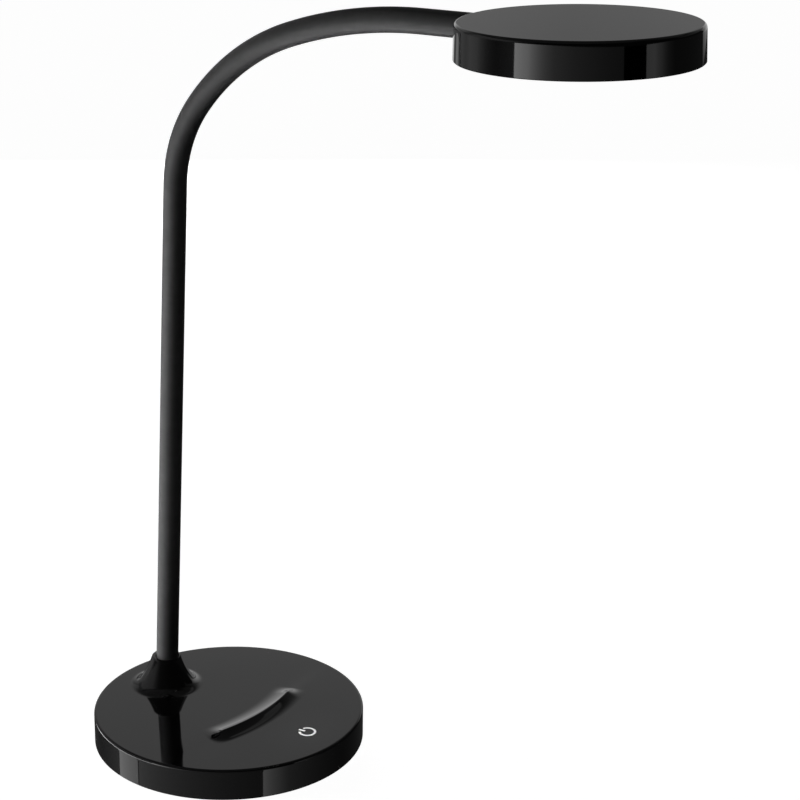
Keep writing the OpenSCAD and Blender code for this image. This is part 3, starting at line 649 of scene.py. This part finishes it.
def dress_nodes():
    """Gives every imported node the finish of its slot."""
    for subpart in frame["record"]["subparts"]:
        mesh = frame["nodes"][subpart["node"]].data
        mesh.materials.clear()
        mesh.materials.append(FINISHES[subpart["material_slot"]])


# ================= base cover =================

COLLAR_BORE_R = SLEEVE_R + SLEEVE_GAP
COLLAR_LIP_R = COLLAR_BORE_R + COLLAR_H * math.tan(math.radians(NECK_LEAN)) + LIP_WALL
LIP_CHAMFER = LIP_WALL / 2
WALL_STEP = 1.2
RIDGE_HALF = math.degrees(math.asin(RIDGE_W / 2 / RIDGE_BOW_R))
RIDGE_REACH = RIDGE_HALF + math.degrees(RIDGE_FADE / RIDGE_BOW_R)


def collar_profile(inset, steps):
    """The collar's side from its lip down, set in by a wall, as [radius, height above the base's top]."""
    drop = COLLAR_H - COLLAR_FILLET * (1 - cos(FOOT_ANGLE))
    slope_r = drop / (cos(FOOT_ANGLE) - cos(LIP_ANGLE))
    start = [COLLAR_LIP_R - inset * sin(LIP_ANGLE), COLLAR_H - inset * cos(LIP_ANGLE)]
    slope = flare(start, slope_r + inset, LIP_ANGLE, FOOT_ANGLE, steps)
    return slope + flare(slope[-1], COLLAR_FILLET + inset, FOOT_ANGLE, 0, steps)[1:]


def ease(t):
    """Goes smoothly from 0 to 1."""
    t = min(1, max(0, t))
    return t * t * (3 - 2 * t)


def ridge_height(angle):
    """Height of the crest at an angle of its bow; it dies away beyond its full width."""
    return RIDGE_H * ease((RIDGE_REACH - abs(angle)) / (RIDGE_REACH - RIDGE_HALF))


def ridge_section(x):
    """Share of the crest's height at a distance across it: a hollow ramp behind, a rounded crest and
    a hollow front."""
    if x < -RIDGE_CREST:
        return RAMP_TOP * (1 - (-x - RIDGE_CREST) / (RIDGE_RAMP - RIDGE_CREST)) ** 2
    if x > RIDGE_CREST:
        return max(0, 1 - x / RIDGE_FRONT) ** 2
    t = (x + RIDGE_CREST) / (2 * RIDGE_CREST)
    front_top = (1 - RIDGE_CREST / RIDGE_FRONT) ** 2
    return RAMP_TOP * (1 - t) + front_top * t + CREST_RISE * t * (1 - t)


def add_ridge(skin):
    """The phone ridge; gives back its outline on the base's top and a test for what is inside it."""
    reach = RIDGE_REACH
    steps = 132
    angles = [-reach + 2 * reach * i / steps for i in range(steps + 1)]
    across = [-RIDGE_RAMP + 0.5 * i for i in range(25)]
    across += [-0.8, -RIDGE_CREST, -0.35, -0.15, 0.05, 0.25, 0.45]
    across += [0.7 + 0.4 * i for i in range(22)] + [RIDGE_FRONT]

    def flat(angle, x):
        r = RIDGE_BOW_R + x
        return RIDGE_X - RIDGE_BOW_R + r * cos(angle), r * sin(angle)

    def raised(angle, x):
        return (*flat(angle, x), BASE_H + ridge_height(angle) * ridge_section(x))

    skin.grid([[raised(a, x) for x in across] for a in angles])
    outline = [flat(a, -RIDGE_RAMP) for a in angles[:-1]] + [flat(reach, x) for x in across[:-1]]
    outline += [flat(a, RIDGE_FRONT) for a in reversed(angles[1:])]
    outline += [flat(-reach, x) for x in reversed(across[1:])]

    def inside(p):
        u, v = p[0] - RIDGE_X + RIDGE_BOW_R, p[1]
        r = math.hypot(u, v)
        angle = math.degrees(math.atan2(v, u))
        return abs(angle) < reach and -RIDGE_RAMP < r - RIDGE_BOW_R < RIDGE_FRONT

    return outline, inside


def boss(skin, x, y, outer, bore, bottom, top, depth):
    """A screw boss: a post with a blind bore from below."""
    profile = [[0, bottom + depth], [bore, bottom + depth], [bore, bottom], [outer, bottom]]
    profile += [[outer, top], [0, top]]
    skin.turned(profile, 40, (x, y))


def block(skin, low, high):
    """A closed box between two corners, with its own side faces."""
    (x0, y0, z0), (x1, y1, z1) = low, high
    ring = [(x0, y0), (x1, y0), (x1, y1), (x0, y1), (x0, y0)]
    skin.grid([[(x, y, z) for x, y in ring] for z in (z0, z1)])
    for z in (z0, z1):
        skin.grid([[(x0, y0, z), (x1, y0, z)], [(x0, y1, z), (x1, y1, z)]])


def base_cover():
    """The moulded cover: round shell, leaning bore through a flared collar, phone ridge and the
    screw bosses inside."""
    skin = Skin()
    segments = 288
    wall_top = BASE_H - BASE_EDGE_R
    side = [[BASE_R - FOOT_EDGE, RIM_H], [BASE_R, RIM_H + FOOT_EDGE], [BASE_R, wall_top]]
    side = finer(side, WALL_STEP)
    outer_rim = skin.turned(side, segments, hole=(JACK_Z, JACK_HOLE_R))
    flat_r = BASE_R - BASE_EDGE_R
    edge = arc((flat_r, wall_top), BASE_EDGE_R, 0, 90, 9)
    skin.turned(edge + [[flat_r - SUPPORT, BASE_H]], segments)

    # collar
    count = 144
    collar = collar_profile(0, 22)
    foot_r = collar[-1][0] + SUPPORT
    lip = arc((collar[0][0] - LIP_ROUND, COLLAR_H - LIP_ROUND), LIP_ROUND, 90, 90 - LIP_ANGLE, 4)
    side = [[r, BASE_H + h] for r, h in lip + collar[1:] + [[foot_r, 0]]]
    skin.turned(side, count, (NECK_X, 0))
    slant = math.tan(math.radians(NECK_LEAN))
    angles = [360 * i / count for i in range(count + 1)]

    def leaning(radius, height):
        middle = NECK_X + height * slant
        return [(middle + radius * cos(a), radius * sin(a), BASE_H + height) for a in angles]

    lip_ring = [(NECK_X + lip[0][0] * cos(a), lip[0][0] * sin(a), BASE_H + COLLAR_H) for a in angles]
    mouth = leaning(COLLAR_BORE_R + LIP_CHAMFER, COLLAR_H)
    skin.grid([lip_ring, mouth])
    shelf = 1.0
    hollow = [p for p in collar_profile(COVER_WALL, 10) if p[0] > COLLAR_BORE_R + shelf]
    hollow_top = hollow[0][1]
    chamfer_end = COLLAR_H - LIP_CHAMFER
    bore = [leaning(COLLAR_BORE_R, h) for h in (chamfer_end, chamfer_end - SUPPORT, hollow_top)]
    skin.grid([mouth] + bore)
    inner = [[r, BASE_H + h] for r, h in hollow]
    start = [(NECK_X + inner[0][0] * cos(a), inner[0][0] * sin(a), inner[0][1]) for a in angles]
    skin.grid([leaning(COLLAR_BORE_R, hollow_top), start])
    skin.turned(inner, count, (NECK_X, 0))

    # flat top between the edge, the collar and the ridge
    outline, on_ridge = add_ridge(skin)
    neck = Vector((NECK_X, 0))
    skin.fill(
        [circle((0, 0), flat_r - SUPPORT, segments), circle(neck, foot_r, count), outline],
        lambda p: (p - neck).length > foot_r - skin.SLACK and not on_ridge(p),
        lambda p: (*p, BASE_H),
    )

    # inside: wall, ceiling, bottom rim, inlet opening, bosses and posts
    inner_r = BASE_R - COVER_WALL
    wall = finer([[inner_r, RIM_H], [inner_r, CEILING]], WALL_STEP)
    inner_rim = skin.turned(wall, segments, hole=(JACK_Z, JACK_HOLE_R))
    skin.turned([[inner_r, RIM_H], [BASE_R - FOOT_EDGE, RIM_H]], segments)
    skin.grid([outer_rim + outer_rim[:1], inner_rim + inner_rim[:1]])
    hollow_r = hollow[-1][0]
    skin.fill(
        [circle((0, 0), inner_r, segments), circle(neck, hollow_r, count)],
        lambda p: (p - neck).length > hollow_r - skin.SLACK,
        lambda p: (*p, CEILING),
    )
    top = CEILING + SUNK
    for a in SCREW_ANGLES:
        x, y = SCREW_CIRCLE * cos(a), SCREW_CIRCLE * sin(a)
        boss(skin, x, y, PAN_BOSS_R, PAN_BORE_R, PAN_TOP, top, PAN_BORE_DEEP)
    for x in BOARD_POST_X:
        bottom = CEILING - BOARD_POST_L
        boss(skin, x, 0, BOARD_POST_R, BOARD_BORE_R, bottom, top, BOARD_BORE_DEEP)
    piece = skin.finish("cover_shell", FINISHES["gloss_cover"], "gloss_cover", sharp=30)
    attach(piece, "base")
    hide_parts("base_cover")


def power_mark():
    """The printed mark: an open ring with a bar in its gap, which points to the neck."""
    skin = Skin(Matrix.Translation((MARK_X, MARK_Y, BASE_H)) @ rotation(MARK_TURN, "Z"))
    inner, outer = MARK_R - MARK_STROKE, MARK_R
    low, high = 0.001, 0.02
    steps = 72
    angles = [180 + MARK_GAP + (360 - 2 * MARK_GAP) * i / steps for i in range(steps + 1)]

    def row(r, z):
        return [(r * cos(a), r * sin(a), z) for a in angles]

    rows = [row(inner, low), row(inner, high), row(outer, high), row(outer, low), row(inner, low)]
    skin.grid(rows)
    for i in (0, -1):
        ends = [r[i] for r in rows[:4]]
        skin.grid([[ends[0], ends[1]], [ends[3], ends[2]]])
    half = MARK_STROKE / 2
    block(skin, (MARK_BAR[0], -half, low), (MARK_BAR[1], half, high))
    piece = skin.finish("power_mark", mark_print(), "gloss_cover")
    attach(piece, "base")


# ================= head =================

HEAD_STEP = 1.0


def cradle(skin):
    """The block with a half-round groove that holds the neck's fitting."""
    near = CRADLE_AT - RIM_AT - HEAD_MID_R
    far = near + CRADLE_L
    half = CRADLE_W / 2
    top = SUNK - HEAD_TOP_T
    groove = arc((0, -NECK_DROP), GROOVE_R, 0, 180, 20)
    low = [(half, -NECK_DROP)] + groove + [(-half, -NECK_DROP)]
    for x in (near, far):
        skin.grid([[(x, y, z) for y, z in low], [(x, y, top) for y, _ in low]])
    skin.grid([[(x, y, z) for y, z in low] for x in (near, far)])
    skin.grid([[(x, y, top) for y, _ in low] for x in (near, far)])
    for y in (half, -half):
        skin.grid([[(near, y, -NECK_DROP), (far, y, -NECK_DROP)], [(near, y, top), (far, y, top)]])


def head_shell():
    """The moulded head: a shallow cup with a rounded upper edge and the opening for the neck."""
    skin = Skin(head_place())
    segments = 288
    top_r = HEAD_TOP_R - HEAD_EDGE_R
    edge = arc((top_r, -HEAD_EDGE_R), HEAD_EDGE_R, 90, 0, 14)
    foot_r = HEAD_R - HEAD_FOOT_EDGE
    side = finer([[HEAD_R, HEAD_FOOT_EDGE - HEAD_H], edge[-1]], HEAD_STEP)
    profile = [[foot_r, -HEAD_H]] + side + list(reversed(edge))[1:]
    outer_rim = skin.turned(profile, segments, hole=(-NECK_DROP, SLEEVE_R + SLEEVE_GAP))
    skin.turned([[top_r, 0], [top_r - SUPPORT, 0]], segments)
    skin.fill([circle((0, 0), top_r - SUPPORT, segments)], lambda p: True, lambda p: (*p, 0))
    wall = finer([[HEAD_IN_R, -HEAD_H], [HEAD_IN_R, -HEAD_TOP_T]], HEAD_STEP)
    inner_hole_r = NECK_DROP - HEAD_TOP_T - 0.45
    inner_rim = skin.turned(wall, segments, hole=(-NECK_DROP, inner_hole_r))
    skin.turned([[HEAD_IN_R, -HEAD_H], [foot_r, -HEAD_H]], segments)
    deep_r = HEAD_IN_R + 0.1
    deep = [(-math.sqrt(deep_r ** 2 - y * y), y, z) for _, y, z in outer_rim]
    skin.grid([ring + ring[:1] for ring in (outer_rim, deep, inner_rim)])
    skin.fill([circle((0, 0), HEAD_IN_R, segments)], lambda p: True, lambda p: (*p, -HEAD_TOP_T))
    for a in SCREW_ANGLES:
        x, y = RING_CIRCLE * cos(a), RING_CIRCLE * sin(a)
        boss(skin, x, y, RING_BOSS_R, RING_BORE_R, SHEET_TOP, SUNK - HEAD_TOP_T, RING_BORE_DEEP)
    cradle(skin)
    piece = skin.finish("head_moulding", FINISHES["gloss_cover"], "gloss_cover", sharp=30)
    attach(piece, "head")
    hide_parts("head_shell")


# ================= neck =================

# A blend is at most this long, and leaves this much straight at each end of its length of sleeve.
LONGEST_BEND = 40.0
STRAIGHT_END = 0.5
LEADS_APART = 0.02


def tube(skin, start, end, radius, inner, side=0, count=56, step=1.6):
    """A tube, or a rod if inner is 0, along the neck between two lengths, set off sideways."""
    steps = math.ceil((end - start) / step)
    angles = [360 * i / count for i in range(count + 1)]

    def ring(length, r):
        point, heading = neck_at(length)
        up = Vector((-sin(heading), 0, cos(heading)))
        points = []
        for a in angles:
            points.append(point + Vector((0, side + r * cos(a), 0)) + r * sin(a) * up)
        return points

    lengths = [start + (end - start) * i / steps for i in range(steps + 1)]
    skin.grid([ring(s, radius) for s in lengths])
    if inner:
        skin.grid([ring(s, inner) for s in lengths])
    for s in (start, end):
        skin.grid([ring(s, inner), ring(s, radius)])


def bend_ends(k, length):
    """Start and end of the blend across bend k, in metres."""
    point, heading = neck_at(bend_at(k))
    ahead = Vector((cos(heading), 0, sin(heading))) * length / 2
    return (point - ahead) * MM, (point + ahead) * MM


def neck_pieces():
    """The sleeve's lengths and the leads' lengths, each lying across its own joint."""
    for k in range(1, BENDS + 1):
        start = SLEEVE_FROM if k == 1 else parted(k - 1)
        sleeve_end = SLEEVE_TO if k == BENDS else parted(k)
        lead_end = LEADS_TO if k == BENDS else parted(k) - LEADS_APART
        room = min(bend_at(k) - start, parted(k) - bend_at(k)) - STRAIGHT_END
        from_point, to_point = bend_ends(k, min(LONGEST_BEND, 2 * room))
        skin = Skin()
        tube(skin, start, sleeve_end, SLEEVE_R, SLEEVE_IN_R)
        finish = FINISHES["sleeve_silicone"]
        sleeve = skin.finish("neck_sleeve_%d" % k, finish, "sleeve_silicone", sharp=40)
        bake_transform(sleeve)
        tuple(to_point)
        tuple(from_point)
        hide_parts("sleeve_%d" % k)
        skin = Skin()
        for side in (-LEAD_Y, LEAD_Y):
            tube(skin, start, lead_end, LEAD_R, 0, side, count=14, step=3)
        finish = FINISHES["lead_insulation"]
        leads = skin.finish("neck_leads_%d" % k, finish, "lead_insulation", sharp=40)
        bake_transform(leads)
        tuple(to_point)
        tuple(from_point)
        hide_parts("leads_%d" % k)


# ================= studio: metres and degrees, the floor in millimetres =================

AMBIENT = 0.012
MIDDLE = (0, 0)
HEAD_MIDDLE = (0.22, 0)
SURROUND_R = 3.4
WALL_R = 2.6
RING_R = 2.5
LEFT_R = 2.4
HEAD_BACK_R = 0.6
FLOOR_HALF = 6000.0
FLOOR_DROP = 0.3
FLOOR_WHITE = 0.98


def emitter(name):
    """A panel material whose light is read from the mesh's own level."""
    material = bpy.data.materials.new(name)
    material.use_nodes = True
    nodes, links = material.node_tree.nodes, material.node_tree.links
    nodes.clear()
    level = nodes.new("ShaderNodeAttribute")
    level.attribute_name = "level"
    light = nodes.new("ShaderNodeEmission")
    out = nodes.new("ShaderNodeOutputMaterial")
    links.new(level.outputs["Fac"], light.inputs["Strength"])
    links.new(light.outputs["Emission"], out.inputs["Surface"])
    return material


PANEL = emitter("studio_panel")


def panel_object(name, mesh):
    """Makes the panel's object and hides it from all but reflections."""
    data = bpy.data.meshes.new(name)
    mesh.to_mesh(data)
    mesh.free()
    data.materials.append(PANEL)
    made = bpy.data.objects.new(name, data)
    bpy.context.scene.collection.objects.link(made)
    made.visible_camera = False
    made.visible_diffuse = False
    made.visible_transmission = False
    made.visible_shadow = False


def panel(name, centre, radius, round_levels, height_levels):
    """A curved panel that only reflections see. round_levels is (azimuth, light) and height_levels is
    (height, share of the light); both fade evenly from one to the next."""
    mesh = bmesh.new()
    layer = mesh.verts.layers.float.new("level")
    widest = 2
    columns = []
    for (a, light_a), (b, light_b) in zip(round_levels, round_levels[1:]):
        count = max(1, math.ceil(abs(b - a) / widest))
        for i in range(count + 1):
            t = i / count
            columns.append((a + (b - a) * t, light_a ** (1 - t) * light_b ** t))
    rows = []
    for azimuth, light in columns:
        made = []
        for height, share in height_levels:
            x = centre[0] + radius * cos(azimuth)
            y = centre[1] + radius * sin(azimuth)
            vert = mesh.verts.new((x, y, height))
            vert[layer] = light * share
            made.append(vert)
        rows.append(made)
    for one, two in zip(rows, rows[1:]):
        if (one[0].co - two[0].co).length < 1e-6:
            continue
        for a, b, c, d in zip(one, one[1:], two[1:], two):
            mesh.faces.new((a, b, c, d))
    panel_object(name, mesh)


def disc_panel(name, height, light):
    """A flat round panel that closes the surround above or below."""
    mesh = bmesh.new()
    layer = mesh.verts.layers.float.new("level")
    radius = SURROUND_R + 0.01
    ring = [mesh.verts.new((radius * cos(a), radius * sin(a), height)) for a in range(0, 360, 6)]
    for vert in ring:
        vert[layer] = light
    mesh.faces.new(ring)
    panel_object(name, mesh)


def surround():
    """A dim grey all round, a little lighter overhead."""
    bottom, top = -6, 4.6
    dim = 0.02
    panel("surround", MIDDLE, SURROUND_R, [(-180, dim), (180, dim)], [(bottom, 1), (top, 1)])
    disc_panel("surround_top", top, 0.08)
    levels = [(155, 0.06), (185, 0.16), (300, 0.16), (380, 0.06)]
    panel("high_round", MIDDLE, 3.3, levels, [(3.2, 0.1), (4.2, 1), (4.55, 1)])
    disc_panel("surround_bottom", bottom, dim)


def left_side():
    """Bright from below on the left, which only the rough sleeve gathers."""
    levels = [(-192, 0.3), (-180, 1), (-118, 1), (-100, 0.2)]
    panel("low_left", MIDDLE, LEFT_R, levels, [(-5.5, 6.5), (-2.3, 6.5)])
    panel("mid_left", MIDDLE, LEFT_R, levels, [(-0.95, 7), (-0.42, 7)])
    levels = [(-188, 0.1), (-170, 0.32), (-120, 0.3), (-95, 0.05)]
    panel("high_left", MIDDLE, RING_R, levels, [(0.3, 1), (2.2, 1)])


def lower_ring():
    """The ring that the base's side reflects."""
    heights = [(-2.1, 1), (-0.85, 1)]
    fields = {
        "lower_ring": [(-222, 0.04), (-190, 0.04), (-170, 0.11), (-157.5, 0.22)],
        "lower_left": [(-156.5, 1.5), (-133.5, 1.28)],
        "lower_front": [(-132.5, 0.56), (-83, 0.27), (-28, 0.12), (-23.5, 0.12)],
        "lower_right": [(-23, 1.2), (-9, 0.5), (0, 0.24), (17, 0.14), (33, 0.08), (60, 0.03)]
        + [(138, 0.03)],
    }
    for name, levels in fields.items():
        panel(name, MIDDLE, RING_R, levels, heights)


def upper_ring():
    """The ring that the head's side reflects."""
    heights = [(-0.55, 1), (0.27, 1)]
    fields = {
        "upper_back": [(143, 0.13), (150, 0.11), (154, 0.5), (160, 0.5)],
        "upper_left": [(160, 0.25), (178, 0.25), (186, 0.4), (197, 0.4), (205, 0.23), (213, 0.11)]
        + [(222, 0.06), (231, 0.1), (241, 0.15)],
        "upper_front": [(-118.5, 3.3), (-105, 2.3), (-97, 1.3), (-89, 0.7), (-81, 0.42)]
        + [(-64, 0.26), (-48, 0.19), (-31, 0.13), (-20, 0.11)],
        "upper_gap": [(-20, 0.001), (1.5, 0.001)],
        "upper_right": [(1.5, 0.6), (10, 0.62), (18, 0.32), (26, 0.1), (34, 0.045), (80, 0.025)],
    }
    for name, levels in fields.items():
        panel(name, HEAD_MIDDLE, RING_R, levels, heights)


def back_walls():
    """The wall behind, which both tops reflect, and a panel that only the head's top reflects."""
    levels = [(40, 0.15), (78, 0.22), (94, 0.4), (114, 1), (140, 1), (150, 0.8), (175, 0.6)]
    heights = [(1.1, 0.56), (1.3, 0.48), (1.55, 0.46), (1.8, 0.34), (2.2, 0.14)]
    panel("back_wall", MIDDLE, WALL_R, levels, heights)
    heights = [(2.2, 0.12), (2.7, 0.09), (4.5, 0.07)]
    panel("high_wall", MIDDLE, WALL_R, [(10, 0.3), (50, 0.9), (175, 1)], heights)
    low = [(0.14, 0.88), (0.62, 0.84), (1.1, 0.56)]
    levels = [(80, 0.4), (92, 0.8), (116, 1), (124, 1)]
    panel("low_wall_right", MIDDLE, WALL_R, levels, [(0.04, 0.25)] + low)
    levels = [(124, 1), (138, 1), (150, 0.4), (175, 0.3)]
    panel("low_wall", MIDDLE, WALL_R, levels, [(-0.1, 0.9)] + low)
    levels = [(106, 0.26), (116, 0.22), (121, 0.21), (136, 0.27)]
    panel("head_back", HEAD_MIDDLE, HEAD_BACK_R, levels, [(0.47, 1), (0.62, 1)])


def aim(name, data, place, target):
    """Puts a light in the studio. It lights the lamp but isn't reflected as a shape."""
    light = bpy.data.objects.new(name, data)
    light.location = place
    light.rotation_euler = (Vector(target) - Vector(place)).to_track_quat("-Z", "Y").to_euler()
    light.visible_glossy = False
    light.visible_camera = False
    bpy.context.scene.collection.objects.link(light)


def soft_box(name, place, target, width, height, power):
    """A rectangle of soft light."""
    data = bpy.data.lights.new(name, "AREA")
    data.shape = "RECTANGLE"
    data.size = width
    data.size_y = height
    data.energy = power
    aim(name, data, place, target)


def mark_light():
    """A narrow beam on the printed mark."""
    data = bpy.data.lights.new("mark_light", "SPOT")
    data.energy = 9
    data.shadow_soft_size = 0.01
    data.spot_size = math.radians(4.4)
    data.spot_blend = 0.15
    aim("mark_light", data, (0.12, -0.3, 0.35), Vector((MARK_X, MARK_Y, BASE_H)) * MM)


def floor():
    """A pale floor, white to the camera, that keeps the lamp's shadow."""
    skin = Skin()
    half, z = FLOOR_HALF, -FLOOR_DROP
    skin.grid([[(-half, y, z), (half, y, z)] for y in (-half, half)])
    material = bpy.data.materials.new("studio_floor")
    material.use_nodes = True
    nodes, links = material.node_tree.nodes, material.node_tree.links
    shader = nodes["Principled BSDF"]
    shader.inputs["Base Color"].default_value = (0.3, 0.3, 0.3, 1)
    shader.inputs["Roughness"].default_value = 0.8
    shader.inputs["Specular IOR Level"].default_value = 0.0
    path = nodes.new("ShaderNodeLightPath")
    scaled = nodes.new("ShaderNodeMath")
    scaled.operation = "MULTIPLY"
    scaled.inputs[1].default_value = FLOOR_WHITE
    links.new(path.outputs["Is Camera Ray"], scaled.inputs[0])
    shader.inputs["Emission Color"].default_value = (1, 1, 1, 1)
    links.new(scaled.outputs["Value"], shader.inputs["Emission Strength"])
    # seen through from below, so that the lamp's underside shows
    side = nodes.new("ShaderNodeNewGeometry")
    clear = nodes.new("ShaderNodeBsdfTransparent")
    mix = nodes.new("ShaderNodeMixShader")
    links.new(side.outputs["Backfacing"], mix.inputs[0])
    links.new(shader.outputs["BSDF"], mix.inputs[1])
    links.new(clear.outputs["BSDF"], mix.inputs[2])
    links.new(mix.outputs["Shader"], nodes["Material Output"].inputs["Surface"])
    made = skin.finish("studio_floor", material)
    made.visible_glossy = False


def world():
    """White to the camera and to reflections, and a low grey for the rest of the light."""
    made = bpy.data.worlds.new("studio_world")
    bpy.context.scene.world = made
    made.use_nodes = True
    nodes, links = made.node_tree.nodes, made.node_tree.links
    path = nodes.new("ShaderNodeLightPath")
    first = nodes.new("ShaderNodeMath")
    first.operation = "MAXIMUM"
    second = nodes.new("ShaderNodeMath")
    second.operation = "MAXIMUM"
    links.new(path.outputs["Is Camera Ray"], first.inputs[0])
    links.new(path.outputs["Is Glossy Ray"], first.inputs[1])
    links.new(first.outputs["Value"], second.inputs[0])
    links.new(path.outputs["Is Transmission Ray"], second.inputs[1])
    strength = nodes.new("ShaderNodeMapRange")
    strength.inputs["To Min"].default_value = AMBIENT
    strength.inputs["To Max"].default_value = 1.0
    links.new(second.outputs["Value"], strength.inputs["Value"])
    back = nodes["Background"]
    back.inputs["Color"].default_value = (1, 1, 1, 1)
    links.new(strength.outputs["Result"], back.inputs["Strength"])


def studio():
    """The floor, the world, the panels that only reflections see, and the lights."""
    floor()
    world()
    surround()
    left_side()
    lower_ring()
    upper_ring()
    back_walls()
    soft_box("key", (-0.46, -0.47, 0.03), (-0.02, 0, 0.3), width=0.26, height=0.2, power=8)
    soft_box("back", (-0.95, 1.17, 0.32), (0, 0, 0.25), width=0.6, height=0.6, power=8)
    mark_light()


# ================= camera =================

CAMERA_PLACE = (0.73472, -0.88375, 0.616627)
CAMERA_TURN = 34.78254
CAMERA_DIP = 19.37955
CAMERA_ROLL = -0.85914
CAMERA_LENS = 96.27
CAMERA_SENSOR = 36


def camera():
    """The camera at the photographed angle."""
    data = bpy.data.cameras.new("camera")
    data.sensor_width = CAMERA_SENSOR
    data.lens = CAMERA_LENS
    data.clip_start = 0.01
    made = bpy.data.objects.new("camera", data)
    turn = rotation(CAMERA_TURN, "Z") @ rotation(-CAMERA_DIP, "X") @ rotation(CAMERA_ROLL, "Y")
    made.matrix_world = Matrix.Translation(CAMERA_PLACE) @ turn @ rotation(90, "X")
    bpy.context.scene.collection.objects.link(made)
    bpy.context.scene.camera = made


# ================= the whole =================

dress_nodes()
base_cover()
power_mark()
head_shell()
neck_pieces()
studio()
camera()
bpy.context.scene.view_settings.view_transform = "Standard"
